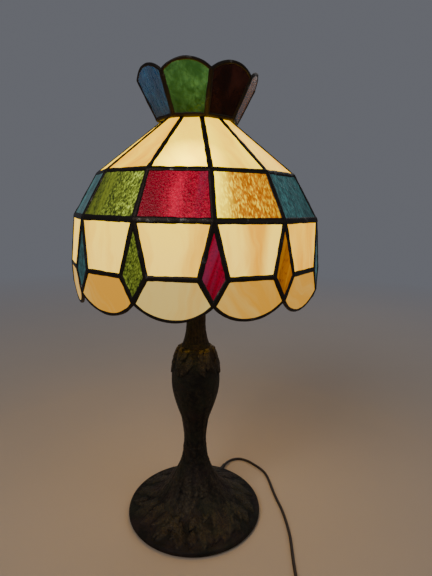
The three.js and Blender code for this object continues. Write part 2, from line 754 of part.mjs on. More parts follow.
function buildHarp() {
  // Half the bow: a share of the way out from leg to widest, and of the way up.
  const half = [
    [0, 0],
    [0, 0.07],
    [0, 0.15],
    [0.3, 0.245],
    [0.83, 0.37],
    [1, 0.51],
    [0.9, 0.665],
    [0.53, 0.826],
    [0.13, 0.934],
    [-0.47, 0.985],
  ].map(([out, up]) => [
    HARP_FOOT_X + out * (HARP_HALF_WIDTH - HARP_FOOT_X),
    HARP_FOOT_Z + up * (HARP_TOP - HARP_FOOT_Z),
  ]);
  const points = [
    ...half.map(([x, z]) => new THREE.Vector3(-x, 0, z)),
    new THREE.Vector3(0, 0, HARP_TOP - HARP_WIRE_R),
    ...half.reverse().map(([x, z]) => new THREE.Vector3(x, 0, z)),
  ];
  const bow = wire(new THREE.CatmullRomCurve3(points, false, "centripetal"), HARP_WIRE_R, 8, 36);
  const plateLow = HARP_TOP - 2 * HARP_WIRE_R;
  const studTop = FINIAL_LOW + FINIAL_INSERT_HEIGHT - GAP;
  const stud = lathe(
    [
      [0, plateLow],
      [8, plateLow],
      [8, CAP_SEAT_Z - GAP],
      [STUD_R, CAP_SEAT_Z - GAP],
      [STUD_R, studTop],
      [0, studTop],
    ],
    16,
  );
  add("harp_bow", join(bow, stud), BRASS);
  const sleeveLow = HARP_FOOT_Z - SLEEVE_LENGTH / 2;
  const sleeveBore = HARP_WIRE_R + SLEEVE_CLEARANCE;
  [["left", -1], ["right", 1]].forEach(([name, side]) => {
    const ring = tubeRing(sleeveBore, sleeveBore + SLEEVE_WALL, sleeveLow, sleeveLow + SLEEVE_LENGTH, 12);
    add("harp_sleeve_" + name, ring, BRASS).position.x = side * HARP_FOOT_X;
  });
}

// ---- Socket and bulb ----
function buildSocket() {
  add(
    "socket_cap",
    lathe(
      closed([
        [PIPE_HOLE_R, SOCKET_LOW],
        [9, SOCKET_LOW],
        [10.5, SOCKET_LOW + 3],
        [SHELL_R - 1, SOCKET_LOW + 8],
        [SHELL_R, SOCKET_SEAM - GAP],
        [SHELL_BORE_R, SOCKET_SEAM - GAP],
        [SHELL_BORE_R - 1, SOCKET_LOW + 9],
        [9, SOCKET_LOW + 4],
        [PIPE_HOLE_R, SOCKET_LOW + 4],
      ]),
      20,
    ),
    BRASS,
  );
  const knobHole = laidForward(disc(KNOB_SHAFT_R + 1, 0, SHELL_R + 5, 10));
  add("socket_shell", cut(tubeRing(SHELL_BORE_R, SHELL_R, SOCKET_SEAM, SOCKET_TOP, 24), knobHole), BRASS);
  const contactTop = CORE_TOP + CONTACT_HEIGHT;
  const core = [[0, CORE_LOW], [SCREW_SHELL_R, CORE_LOW], [SCREW_SHELL_R, CORE_TOP], [CONTACT_R, CORE_TOP]];
  add("socket_core", lathe([...core, [CONTACT_R, contactTop], [0, contactTop]], 20), BLACK_PLASTIC);
  const mouth = SOCKET_TOP - 2;
  add("screw_shell", tubeRing(SCREW_SHELL_BORE_R, SCREW_SHELL_R, SCREW_SHELL_LOW, mouth, 24), BRASS);
}

// Turns a shape made along +Z so that it points forward from the socket's axis at the knob's height.
function laidForward(geometry) {
  return geometry.rotateX(Math.PI / 2).translate(0, 0, KNOB_Z);
}

function buildKnob() {
  const start = SCREW_SHELL_R + GAP;
  const low = SHELL_R + 3;
  const knob = lathe(
    [
      [0, start],
      [KNOB_SHAFT_R, start],
      [KNOB_SHAFT_R, low],
      [KNOB_R - 1, low],
      [KNOB_R, low + 2],
      [KNOB_R, low + KNOB_LENGTH - 2],
      [KNOB_R - 1.5, low + KNOB_LENGTH],
      [0, low + KNOB_LENGTH],
    ],
    10,
  );
  add("switch_knob", laidForward(knob), BLACK_PLASTIC);
}

function buildBulb() {
  add("bulb_contact", lathe([[0, BULB_TIP], [3, BULB_TIP], [6, BULB_TIP + 2], [0, BULB_TIP + 2]], 12), STEEL);
  add(
    "bulb_cap",
    lathe(
      [
        [0, BULB_CAP_LOW],
        [7, BULB_CAP_LOW],
        [BULB_CAP_R, BULB_CAP_LOW + 4],
        [BULB_CAP_R, BULB_CAP_LOW + BULB_CAP_HEIGHT],
        [0, BULB_CAP_LOW + BULB_CAP_HEIGHT],
      ],
      20,
    ),
    STEEL,
  );
  const centre = BULB_TOP - BULB_R;
  const neckR = BULB_CAP_R - 0.5;
  const neckHeight = centre - BULB_NECK_LOW;
  const outer = [
    [neckR, BULB_NECK_LOW],
    [neckR + 1.2, BULB_NECK_LOW + 0.2 * neckHeight],
    [neckR + 6.5, BULB_NECK_LOW + 0.45 * neckHeight],
    [BULB_R - 2.6, BULB_NECK_LOW + 0.75 * neckHeight],
  ];
  const domeSteps = 5;
  for (let i = 0; i < domeSteps; i++) {
    const a = (Math.PI / 2) * (i / domeSteps);
    outer.push([BULB_R * Math.cos(a), centre + BULB_R * Math.sin(a)]);
  }
  const inner = outer.map(([r, z]) => [r - BULB_WALL, z]).reverse();
  const glass = [...outer, [0, BULB_TOP], [0, BULB_TOP - BULB_WALL], ...inner];
  glass.push(glass[0]);
  add("bulb_globe", lathe(glass, 20), FROSTED_GLASS);
}

// ---- Cord ----
// The free stretch on the table, from the strain relief's tip to the coil.
const FLOOR_ROUTE = [
  [61.5, 113.5, CORD_R + 1.9],
  [71, 122, CORD_R + 0.5],
  [84, 124.5, CORD_R],
  [98.5, 117, CORD_R],
  [109, 105.5, CORD_R],
  [118, 94, CORD_R],
  [124, 82.5, CORD_R],
  [127.3, 69, CORD_R],
  [129.2, 52, CORD_R],
  [130.8, 31.5, CORD_R],
  [133.4, 10, CORD_R],
  [136.4, -9, CORD_R],
  [138, -31, CORD_R],
  [138.3, -51, CORD_R],
  [137.8, -67, CORD_R],
  [136, -85, CORD_R],
  [134, -102, CORD_R],
  [132.4, -118, CORD_R],
  [131, -135, CORD_R],
  [130.3, -152, CORD_R],
  [129.8, -170, CORD_R + 0.4],
];

function buildCord() {
  const bushing = lathe(
    closed([
      [CORD_R + CORD_CLEARANCE, 0],
      [BUSHING_COLLAR_R, 0],
      [BUSHING_COLLAR_R, BUSHING_LENGTH * 0.5],
      [CORD_R + CORD_CLEARANCE + BUSHING_END_WALL, BUSHING_LENGTH],
      [CORD_R + CORD_CLEARANCE, BUSHING_LENGTH],
    ]),
    12,
  );
  add("cord_bushing", laidOutwards(bushing, BUSHING_TIP_R - BUSHING_LENGTH), CORD_PLASTIC);

  const held = new THREE.CatmullRomCurve3(
    [
      alongExit(BUSHING_TIP_R - GAP, CORD_EXIT_Z),
      alongExit(BUSHING_TIP_R - BUSHING_LENGTH, CORD_EXIT_Z),
      alongExit(72, CORD_EXIT_Z),
      alongExit(50, CORD_EXIT_Z + 1.4),
      alongExit(30, 14),
      alongExit(13, 32),
      alongExit(3, 58),
      alongExit(0, PIPE_BOTTOM - 6),
      alongExit(0, PIPE_BOTTOM + 30),
      alongExit(0, VASE_TOP),
      alongExit(0, CORE_LOW - GAP),
    ],
    false,
    "centripetal",
  );
  add("inner_cord", wire(held, CORD_R, 8, 32), CORD_PLASTIC);

  const run = new THREE.CatmullRomCurve3(
    [
      alongExit(BUSHING_TIP_R, CORD_EXIT_Z),
      ...FLOOR_ROUTE.map((point) => new THREE.Vector3(...point)),
      new THREE.Vector3(COIL_ENTRY.x, COIL_ENTRY.y + GAP, COIL_LIFT + CORD_R),
    ],
    false,
    "centripetal",
  );
  add("cord_run", wire(run, CORD_R, 8, 36), CORD_PLASTIC);
  buildCoil(run.getLength());
}

// The spare length: a neat coil, then a short tail down to the plug. Its turns take up what is left.
function buildCoil(runLength) {
  const tailLength = Math.hypot(TAIL_REACH, TAIL_DROP);
  const middleR = (CORD_LENGTH - runLength - tailLength) / (2 * Math.PI * COIL_TURNS);
  const radialSpan = (COIL_TURNS / COIL_LAYERS) * COIL_PITCH;
  const pathOuterR = middleR + radialSpan / 2;
  const centre = new THREE.Vector3(COIL_ENTRY.x - pathOuterR, COIL_ENTRY.y, 0);
  const innerR = middleR - radialSpan / 2 - CORD_R;
  const outerR = pathOuterR + CORD_R;
  const top = COIL_LIFT + (COIL_LAYERS - 1) * COIL_PITCH + 2 * CORD_R;
  // The run's and the tail's ends lie inside the ring's square outline, so the ring gives them room.
  const ring = tubeRing(innerR, outerR, COIL_LIFT, top, 24).translate(centre.x, centre.y, 0);
  const entryTop = COIL_LIFT + 2 * CORD_R + GAP;
  const entryRoom = new THREE.BoxGeometry(4 * CORD_R, 2 * outerR, 2 * entryTop);
  entryRoom.translate(COIL_ENTRY.x, COIL_ENTRY.y + outerR, 0);
  const tailZ = top - CORD_R;
  const tailRoom = new THREE.BoxGeometry(2 * outerR, 4 * CORD_R, 4 * CORD_R);
  tailRoom.translate(centre.x - outerR, centre.y - pathOuterR, tailZ);
  add("cord_coil", cut(cut(ring, entryRoom), tailRoom), CORD_PLASTIC);

  const tailStart = new THREE.Vector3(centre.x - GAP, centre.y - pathOuterR, tailZ);
  const tailEnd = tailStart.clone().add(new THREE.Vector3(GAP - TAIL_REACH, 0, PLUG_THICK / 2 - tailZ));
  const tail = new THREE.CatmullRomCurve3([
    tailStart,
    tailStart.clone().add(new THREE.Vector3(-0.25 * TAIL_REACH, 0, -0.08 * TAIL_DROP)),
    tailStart.clone().lerp(tailEnd, 0.5),
    tailEnd.clone().add(new THREE.Vector3(0.25 * TAIL_REACH, 0, 0.08 * TAIL_DROP)),
    tailEnd,
  ]);
  add("cord_tail", wire(tail, CORD_R, 8, 8), CORD_PLASTIC);
  buildTie(centre, innerR, outerR, top);
  buildPlug(tailEnd.clone().add(new THREE.Vector3(-GAP, 0, 0)));
}

// A flat band looped round the coil on the side towards the lamp.
function buildTie(centre, innerR, outerR, top) {
  const loop = new THREE.Shape();
  const rectangle = (path, margin) => {
    const [left, right] = [innerR - GAP - margin, outerR + GAP + margin];
    const [low, high] = [COIL_LIFT - GAP - margin, top + GAP + margin];
    path.moveTo(left, low).lineTo(right, low).lineTo(right, high).lineTo(left, high);
    path.closePath();
    return path;
  };
  rectangle(loop, TIE_THICK);
  loop.holes.push(rectangle(new THREE.Path(), 0));
  const band = new THREE.ExtrudeGeometry(loop, { depth: TIE_WIDTH, bevelEnabled: false })
    .rotateX(Math.PI / 2)
    .translate(0, TIE_WIDTH / 2, 0)
    .rotateZ(Math.PI / 2)
    .translate(centre.x, centre.y, 0);
  add("cord_tie", band, BLACK_PLASTIC);
}

// A two-blade plug that lies flat and points away from the coil.
function buildPlug(back) {
  const outline = new THREE.Shape([
    new THREE.Vector2(0, -PLUG_WIDTH * 0.25),
    new THREE.Vector2(0, PLUG_WIDTH * 0.25),
    new THREE.Vector2(-PLUG_LENGTH * 0.45, PLUG_WIDTH * 0.36),
    new THREE.Vector2(-PLUG_LENGTH * 0.75, PLUG_WIDTH / 2),
    new THREE.Vector2(-PLUG_LENGTH, PLUG_WIDTH / 2),
    new THREE.Vector2(-PLUG_LENGTH, -PLUG_WIDTH / 2),
    new THREE.Vector2(-PLUG_LENGTH * 0.75, -PLUG_WIDTH / 2),
    new THREE.Vector2(-PLUG_LENGTH * 0.45, -PLUG_WIDTH * 0.36),
  ]);
  const body = new THREE.ExtrudeGeometry(outline, { depth: PLUG_THICK, bevelEnabled: false });
  add("plug_body", body.translate(back.x, back.y, 0), BLACK_PLASTIC);
  [["left", -1], ["right", 1]].forEach(([name, side]) => {
    const blade = new THREE.BoxGeometry(BLADE_LENGTH, BLADE_THICK, BLADE_WIDTH).translate(
      back.x - PLUG_LENGTH - GAP - BLADE_LENGTH / 2,
      back.y + (side * BLADE_SPACING) / 2,
      PLUG_THICK / 2,
    );
    add("plug_blade_" + name, blade, BRASS);
  });
}

buildBase();
buildStem();
buildPipe();
buildSaddle();
buildHarp();
buildSocket();
buildKnob();
buildBulb();
buildShade();
buildVaseCap();
buildFinial();
buildCord();

export default lamp;
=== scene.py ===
"""A table lamp with a twelve-sided leaded glass shade, a glass crown and a cast bronze stem.

Shapes are worked out in millimetres, +Z up, around the lamp's axis. Angles start at the front (-Y)
and grow towards the right (+X). A mesh is made in metres, in the frame's own place.
"""

import math

import bpy
import numpy as np
from mathutils import Matrix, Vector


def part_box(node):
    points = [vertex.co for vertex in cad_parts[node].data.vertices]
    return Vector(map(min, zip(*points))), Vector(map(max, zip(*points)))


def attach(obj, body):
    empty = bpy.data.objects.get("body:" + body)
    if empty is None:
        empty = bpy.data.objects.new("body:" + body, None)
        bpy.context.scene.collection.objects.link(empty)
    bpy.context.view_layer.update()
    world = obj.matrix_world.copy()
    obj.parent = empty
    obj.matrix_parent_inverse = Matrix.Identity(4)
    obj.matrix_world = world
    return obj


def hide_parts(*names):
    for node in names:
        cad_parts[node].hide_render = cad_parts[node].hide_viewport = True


bl_info = {
    "name": "Leaded glass table lamp",
    "version": (1, 0, 0),
    "blender": (4, 5, 0),
    "location": "3D View > Sidebar > Lamp",
    "description": "Builds a leaded glass table lamp around its packed frame",
    "category": "Add Mesh",
}

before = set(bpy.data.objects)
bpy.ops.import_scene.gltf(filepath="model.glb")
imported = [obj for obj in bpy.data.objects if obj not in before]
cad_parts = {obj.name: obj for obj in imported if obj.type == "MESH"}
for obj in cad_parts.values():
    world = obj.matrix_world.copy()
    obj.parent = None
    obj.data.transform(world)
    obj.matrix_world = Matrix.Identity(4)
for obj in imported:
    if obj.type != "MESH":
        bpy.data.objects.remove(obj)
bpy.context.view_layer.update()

MM = 0.001
TURN = 2 * math.pi
WELD = 1e-6  # metres: points closer than this are one point
CENTIMETRE = 10  # millimetres, the unit in which glass and cord patterns are laid out


# ---- Sizes read from the frame ----
def span(node):
    """Lowest and highest corner of a node of the frame, in millimetres."""
    low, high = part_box(node)
    return np.array(low) / MM, np.array(high) / MM


def heights(node):
    """Lowest and highest level of a node of the frame, in millimetres."""
    low, high = span(node)
    return low[2], high[2]


# ---- Settings ----
def length(name, text, default):
    return bpy.props.FloatProperty(
        name=name, description=text, default=default, unit="LENGTH", precision=4
    )


def degrees(name, text, default):
    return bpy.props.FloatProperty(
        name=name, description=text, default=math.radians(default), subtype="ANGLE"
    )


def share(name, text, default, top=1.0):
    return bpy.props.FloatProperty(
        name=name, description=text, default=default, min=0.0, max=top, subtype="FACTOR"
    )


def colour(name, text, default):
    return bpy.props.FloatVectorProperty(
        name=name, description=text, default=default, min=0.0, max=1.0, subtype="COLOR"
    )


class ShadeSettings(bpy.types.PropertyGroup):
    """Rings of corners of the shade, each with its radius and its drop below the top ring."""

    first_corner: degrees("First corner", "Angle of the first corner from the front", -23.8)
    top_radius: length("Top radius", "Ring under the crown", 0.044)
    shoulder_radius: length("Shoulder radius", "Ring between cone and band", 0.1305)
    shoulder_drop: length("Shoulder drop", "Below the top ring", 0.069)
    band_radius: length("Band radius", "Ring between band and skirt", 0.161)
    band_drop: length("Band drop", "Below the top ring", 0.122)
    waist_drop: length("Waist drop", "Widest place of the kites, below the top ring", 0.1815)
    waist_angle: degrees("Waist angle", "Half the angle that a kite takes up", 5.24)
    hem_radius: length("Hem radius", "Ring of the corners between scallops", 0.165)
    hem_drop: length("Hem drop", "Below the top ring", 0.2085)
    scallop_drop: length("Scallop drop", "Depth of each scallop's arc", 0.0195)
    pane_thickness: length("Pane thickness", "Thickness of every pane", 0.003)


class CrownSettings(bpy.types.PropertyGroup):
    """The flared crown of eight panes on top of the shade."""

    first_corner: degrees("First corner", "Angle of the first corner from the front", -33.6)
    foot_radius: length("Foot radius", "Ring of corners at the foot", 0.0533)
    foot_rise: length("Foot rise", "Above the shade's top ring", 0.0012)
    flare: length("Flare", "How much wider the rim is than the foot", 0.0239)
    height: length("Height", "From the foot to the rim's corners", 0.0454)
    arch: length("Arch", "Rise of the arched top of each pane", 0.0128)


class LeadSettings(bpy.types.PropertyGroup):
    """The leading between the panes."""

    main_width: length("Main width", "Width of the ribs and rings", 0.0068)
    fine_width: length("Fine width", "Width of the seams round kites and in the crown", 0.0066)
    edge_width: length("Edge width", "Width of the lead on hems and arches", 0.0042)
    thickness: length("Thickness", "From the inner to the outer face", 0.0046)
    unevenness: share("Unevenness", "How much the solder swells and thins", 0.07)


class CastSettings(bpy.types.PropertyGroup):
    """The cast foot, vase and neck."""

    leaf_height: length("Leaf height", "Relief of the leaves on the foot", 0.0021)
    root_height: length("Root height", "Relief of the roots that climb the trunk", 0.0017)
    collar_height: length("Collar height", "Relief of the leaves round the vase", 0.0019)
    flute_depth: length("Flute depth", "Depth of the faint flutes", 0.0005)
    dark: colour("Dark patina", "Recesses of the casting", (0.002, 0.0015, 0.001))
    brown: colour("Brown patina", "Most of the casting", (0.019, 0.014, 0.009))
    rubbed: colour("Rubbed patina", "Raised and handled places", (0.060, 0.049, 0.032))


class GlassSettings(bpy.types.PropertyGroup):
    """Colours of the glass and how strongly the lamp lights it."""

    glow: share("Glow", "Light that the bulb sends through the panes", 1.0, top=4.0)
    cream: colour("Cream", "Clear parts of the opal glass", (1.0, 0.65, 0.07))
    tan: colour("Tan", "Streaks of the opal glass", (0.70, 0.30, 0.005))
    honey_pale: colour("Honey", "Clear parts of the scallops", (0.92, 0.64, 0.17))
    honey_tan: colour("Honey tan", "Streaks of the scallops", (0.88, 0.40, 0.03))


class CordSettings(bpy.types.PropertyGroup):
    """The mains cord."""

    length: length("Length", "From the strain relief to the plug", 1.8)
    radius: length("Radius", "Half the cord's thickness", 0.0021)
    turns: bpy.props.FloatProperty(name="Turns", description="Turns of the coil", default=9.25)
    layers: bpy.props.IntProperty(name="Layers", description="Layers of the coil", default=4)
    pitch: length("Pitch", "Between neighbouring turns", 0.0043)


class StageSettings(bpy.types.PropertyGroup):
    """Camera, floor and lights."""

    lens: bpy.props.FloatProperty(
        name="Lens", description="Focal length", default=26.511, unit="CAMERA"
    )
    distance: length("Distance", "From the lamp's axis to the camera", 0.59266)
    height: length("Height", "Height of the camera", 0.47128)
    pitch: degrees("Pitch", "How far the camera looks down", 11.197)
    yaw: degrees("Yaw", "How far the camera looks to the right", 2.704)
    roll: degrees("Roll", "How far the camera leans", 0.98)
    floor: colour("Floor", "The plain floor", (0.62, 0.49, 0.37))
    backdrop: colour("Backdrop", "The light all round", (0.135, 0.140, 0.160))


# ---- Surfaces ----
def polar(radius, angle, height):
    """Points (r sin a, -r cos a, z) for arrays of r, a and z."""
    radius, angle, height = np.broadcast_arrays(radius, angle, height)
    return np.stack([radius * np.sin(angle), -radius * np.cos(angle), height], -1)


def round_axis(count):
    """count even angles from 0 to a whole turn, as one row."""
    return np.arange(count)[None] * TURN / count


def unit(vectors):
    return vectors / np.linalg.norm(vectors, axis=-1, keepdims=True)


def between(start, end, count):
    """Evenly spaced points from start to end: (1 - t) start + t end."""
    t = np.linspace(0, 1, count)[:, None]
    return (1 - t) * start + t * end


def smooth_step(values, low, high):
    """0 below low, 1 above high, and 3t^2 - 2t^3 between them."""
    t = np.clip((values - low) / (high - low), 0, 1)
    return t * t * (3 - 2 * t)


def waves(points, size, seed, octaves=2):
    """Seven seeded sines for each octave; each octave is half as large and half as high."""
    draw = np.random.default_rng(seed)
    total = np.zeros(points.shape[:-1])
    for octave in range(octaves):
        direction = unit(draw.normal(size=(7, points.shape[-1]))) * TURN / size * 2**octave
        phase = draw.uniform(0, TURN, 7)
        total += np.sin(points @ direction.T + phase).sum(-1) / (2.6 * 2**octave)
    return total


def grid_quads(rows, columns, wrap_rows=False, wrap_columns=False):
    """Corner numbers of the quads of a grid whose points are counted row by row."""
    r, c = np.meshgrid(
        np.arange(rows if wrap_rows else rows - 1),
        np.arange(columns if wrap_columns else columns - 1),
        indexing="ij",
    )
    r, c = r.ravel(), c.ravel()
    r2, c2 = (r + 1) % rows, (c + 1) % columns
    return np.stack([r * columns + c, r2 * columns + c, r2 * columns + c2, r * columns + c2], -1)


def shell(points, quads, lay=None, tone=None):
    """A closed surface in millimetres with its shared points merged and its faces outwards.

    The signed volume, a sixth of the sum of a.(b x c) + a.(c x d) over the quads, is made positive.
    lay holds pattern coordinates in centimetres. tone runs from about 0 to 1: how far a casting
    stands up, how much tan a pane of opal glass has, or how much light a coloured pane lets
    through.
    """
    points = points.reshape(-1, 3) * MM
    lay = np.zeros_like(points) if lay is None else lay.reshape(-1, 3)
    tone = np.zeros(len(points)) if tone is None else tone.reshape(-1)
    places = np.round(points / WELD).astype(np.int64)
    _, first, where = np.unique(places, axis=0, return_index=True, return_inverse=True)
    points = points[first]
    quads = where.reshape(-1)[quads]
    a, b, c, d = (points[quads[:, corner]] for corner in range(4))
    volume = np.einsum("ij,ij->", a, np.cross(b, c) + np.cross(c, d))
    if volume < 0:
        quads = quads[:, ::-1]
    return {"points": points, "quads": quads, "lay": lay[first], "tone": tone[first]}


def add_piece(name, shells, look, body, stands_for=(), crease=38):
    """Makes one object of closed shells and fastens it to its body of the frame."""
    starts = np.cumsum([0] + [len(s["points"]) for s in shells])
    quads = np.concatenate([s["quads"] + start for s, start in zip(shells, starts)])
    corners = quads != np.roll(quads, -1, axis=1)
    whole = corners.sum(1) > 2
    quads, corners = quads[whole], corners[whole]
    loops = quads[corners]
    counts = corners.sum(1)
    mesh = bpy.data.meshes.new(name)
    mesh.vertices.add(starts[-1])
    mesh.vertices.foreach_set("co", np.concatenate([s["points"] for s in shells]).ravel())
    mesh.loops.add(len(loops))
    mesh.loops.foreach_set("vertex_index", loops.astype(np.int32))
    mesh.polygons.add(len(counts))
    mesh.polygons.foreach_set("loop_start", (np.cumsum(counts) - counts).astype(np.int32))
    mesh.polygons.foreach_set("use_smooth", np.ones(len(counts), bool))
    mesh.update(calc_edges=True)
    mesh.set_sharp_from_angle(angle=math.radians(crease))
    lay = mesh.attributes.new("lay", "FLOAT_VECTOR", "POINT")
    lay.data.foreach_set("vector", np.concatenate([s["lay"] for s in shells]).ravel())
    tone = mesh.attributes.new("tone", "FLOAT", "POINT")
    tone.data.foreach_set("value", np.concatenate([s["tone"] for s in shells]))
    mesh.materials.append(look)
    piece = bpy.data.objects.new(name, mesh)
    bpy.context.scene.collection.objects.link(piece)
    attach(piece, body)
    if stands_for:
        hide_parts(*stands_for)
    return piece


def rounded(profile, radius, steps=4):
    """A closed outline whose corners are replaced by curves (1-t)^2 a + 2t(1-t) p + t^2 b."""
    profile = np.asarray(profile, float)
    before = np.roll(profile, 1, axis=0) - profile
    after = np.roll(profile, -1, axis=0) - profile
    reach_before = np.linalg.norm(before, axis=1, keepdims=True)
    reach_after = np.linalg.norm(after, axis=1, keepdims=True)
    cut = np.minimum(radius, 0.45 * np.minimum(reach_before, reach_after))
    a = profile + before / reach_before * cut
    b = profile + after / reach_after * cut
    t = np.linspace(0, 1, steps)[None, :, None]
    curve = (1 - t) ** 2 * a[:, None] + 2 * t * (1 - t) * profile[:, None] + t**2 * b[:, None]
    return curve.reshape(-1, profile.shape[1])


def through(points, steps):
    """A centripetal Catmull-Rom curve through points, with steps pieces between neighbours.

    Each piece is a cubic whose end slopes weigh the neighbouring chords by the root of their
    length.
    """
    points = np.asarray(points, float)
    ends = 2 * points[:1] - points[1:2], 2 * points[-1:] - points[-2:-1]
    padded = np.concatenate([ends[0], points, ends[1]])
    knots = np.sqrt(np.linalg.norm(np.diff(padded, axis=0), axis=1))[:, None]
    p0, p1, p2, p3 = padded[:-3], padded[1:-2], padded[2:-1], padded[3:]
    d0, d1, d2 = knots[:-2], knots[1:-1], knots[2:]
    m1 = d1 * ((p1 - p0) / d0 - (p2 - p0) / (d0 + d1) + (p2 - p1) / d1)
    m2 = d1 * ((p2 - p1) / d1 - (p3 - p1) / (d1 + d2) + (p3 - p2) / d2)
    t = np.linspace(0, 1, steps, endpoint=False)[None, :, None]
    a, b = (2 * p1 - 2 * p2 + m1 + m2)[:, None], (3 * p2 - 3 * p1 - 2 * m1 - m2)[:, None]
    curve = a * t**3 + b * t**2 + m1[:, None] * t + p1[:, None]
    return np.concatenate([curve.reshape(-1, points.shape[1]), points[-1:]])


def spaced(path, count):
    """count points at equal distances along a polyline."""
    run = np.concatenate([[0], np.cumsum(np.linalg.norm(np.diff(path, axis=0), axis=1))])
    at = np.linspace(0, run[-1], count)
    return np.stack([np.interp(at, run, column) for column in path.T], -1)


def ends_doubled(values):
    """An array with its first and last rows repeated."""
    return np.concatenate([values[:1], values, values[-1:]])


def path_length(path):
    return np.linalg.norm(np.diff(path, axis=0), axis=1).sum()


def lathe(profile, around=64, lift=None, tone=None, closed=True, axis_from=None, axis_to=None):
    """Turns (radius, height) points round the axis, each moved by lift along the profile's normal.

    The normal at a point is the profile's direction turned by a quarter. With axis_from and axis_to
    the height runs from the first point towards the second instead of up the lamp's axis.
    """
    profile = np.asarray(profile, float)
    rows = len(profile)
    angles = round_axis(around)
    radius = np.repeat(profile[:, :1], around, 1)
    height = np.repeat(profile[:, 1:], around, 1)
    if lift is not None:
        if closed:
            along = np.roll(profile, -1, axis=0) - np.roll(profile, 1, axis=0)
        else:
            along = np.gradient(profile, axis=0)
        along = along / np.maximum(np.linalg.norm(along, axis=1, keepdims=True), 1e-9)
        radius = radius + lift * along[:, 1:]
        height = height - lift * along[:, :1]
    points = polar(radius, angles, height)
    if axis_from is not None:
        origin = np.asarray(axis_from, float)
        z = unit(np.asarray(axis_to, float) - origin)
        x = unit(np.cross((0, 0, 1) if abs(z[2]) < 0.9 else (0, 1, 0), z))
        points = origin + points @ np.stack([x, np.cross(z, x), z])
    turned = np.broadcast_to(angles / TURN, radius.shape)
    lay = np.stack([turned, height / CENTIMETRE, radius / CENTIMETRE], -1)
    return shell(points, grid_quads(rows, around, closed, True), lay, tone)


def sweep(path, section, scale=1.0, up=(0, 0, 1), closed=False):
    """Carries an outline along a path: path(s) + scale(s) (x side + y rise).

    side is square to the path and to up, and rise is square to both. An open sweep is closed at its
    ends by drawing the outline in to the path.
    """
    path = np.asarray(path, float)
    section = np.asarray(section, float)
    if closed:
        along = np.roll(path, -1, axis=0) - np.roll(path, 1, axis=0)
    else:
        along = np.gradient(path, axis=0)
    along = unit(along)
    side = unit(np.cross(along, np.broadcast_to(up, along.shape)))
    rise = np.cross(side, along)
    scale = np.ones((len(path), 1)) * np.asarray(scale, float).reshape(-1, 1)
    run = np.concatenate([[0], np.cumsum(np.linalg.norm(np.diff(path, axis=0), axis=1))])
    if not closed:
        path, side, rise, run = map(ends_doubled, (path, side, rise, run))
        scale = np.concatenate([[[0]], scale, [[0]]])
    x, y = section[None, :, :1] * scale[:, :, None], section[None, :, 1:] * scale[:, :, None]
    points = path[:, None] + x * side[:, None] + y * rise[:, None]
    turned = np.broadcast_to(np.linspace(0, 1, len(section)), points.shape[:2])
    far = np.broadcast_to(run[:, None] / CENTIMETRE, points.shape[:2])
    lay = np.stack([turned, far, np.zeros_like(far)], -1)
    return shell(points, grid_quads(len(path), len(section), closed, True), lay)


def circle(radius, count):
    angles = round_axis(count)[0]
    return np.stack([radius * np.cos(angles), radius * np.sin(angles)], -1)


def oblong(width, thickness, count, power=2.6):
    """An outline |x/w|^p + |y/t|^p = 1, between an ellipse and a rectangle."""
    angles = round_axis(count)[0]
    c, s = np.cos(angles), np.sin(angles)
    x = 0.5 * width * np.sign(c) * np.abs(c) ** (2 / power)
    y = 0.5 * thickness * np.sign(s) * np.abs(s) ** (2 / power)
    return np.stack([x, y], -1)


def slab(front, back, lay=None, tone=None):
    """Two grids of the same size, face to face, joined by a wall round their edges."""
    rows, columns = front.shape[:2]
    number = np.arange(rows * columns).reshape(rows, columns)
    faces = grid_quads(rows, columns)
    edge = np.concatenate(
        [number[0, :-1], number[:-1, -1], number[-1, :0:-1], number[:0:-1, 0]]
    )
    ahead = np.roll(edge, -1)
    far = rows * columns
    wall = np.stack([ahead, edge, edge + far, ahead + far], -1)
    quads = np.concatenate([faces[:, ::-1], faces + far, wall[:, ::-1]])
    both = None if lay is None else np.concatenate([lay, lay])
    return shell(np.concatenate([front, back]), quads, both, tone)


# ---- Shade ----
def leaning(angle, lean):
    """Direction in the upright plane at an angle, leaning up from the level."""
    return polar(np.cos(lean), angle, np.sin(lean))


def arc(start, end, side, rise, count):
    """A circular arc from start to end that bulges by rise towards side."""
    half = 0.5 * np.linalg.norm(end - start)
    radius = (half**2 + rise**2) / (2 * rise)
    sweep_angle = math.asin(half / radius)
    angles = np.linspace(-sweep_angle, sweep_angle, count)[:, None]
    middle = 0.5 * (start + end)
    along = unit(end - start)
    bulge = radius * np.cos(angles) - radius + rise
    return middle + radius * np.sin(angles) * along + bulge * side


SHADE_SIDES = 12
CROWN_SIDES = 8
LEAD_HALF_THICK = 2.5
CAP_CLEARANCE = 0.6
PANE_EDGE = 0.022  # share of a pane that stays back from each seam
BAND_COLOURS = ("teal", "green", "red", "amber")


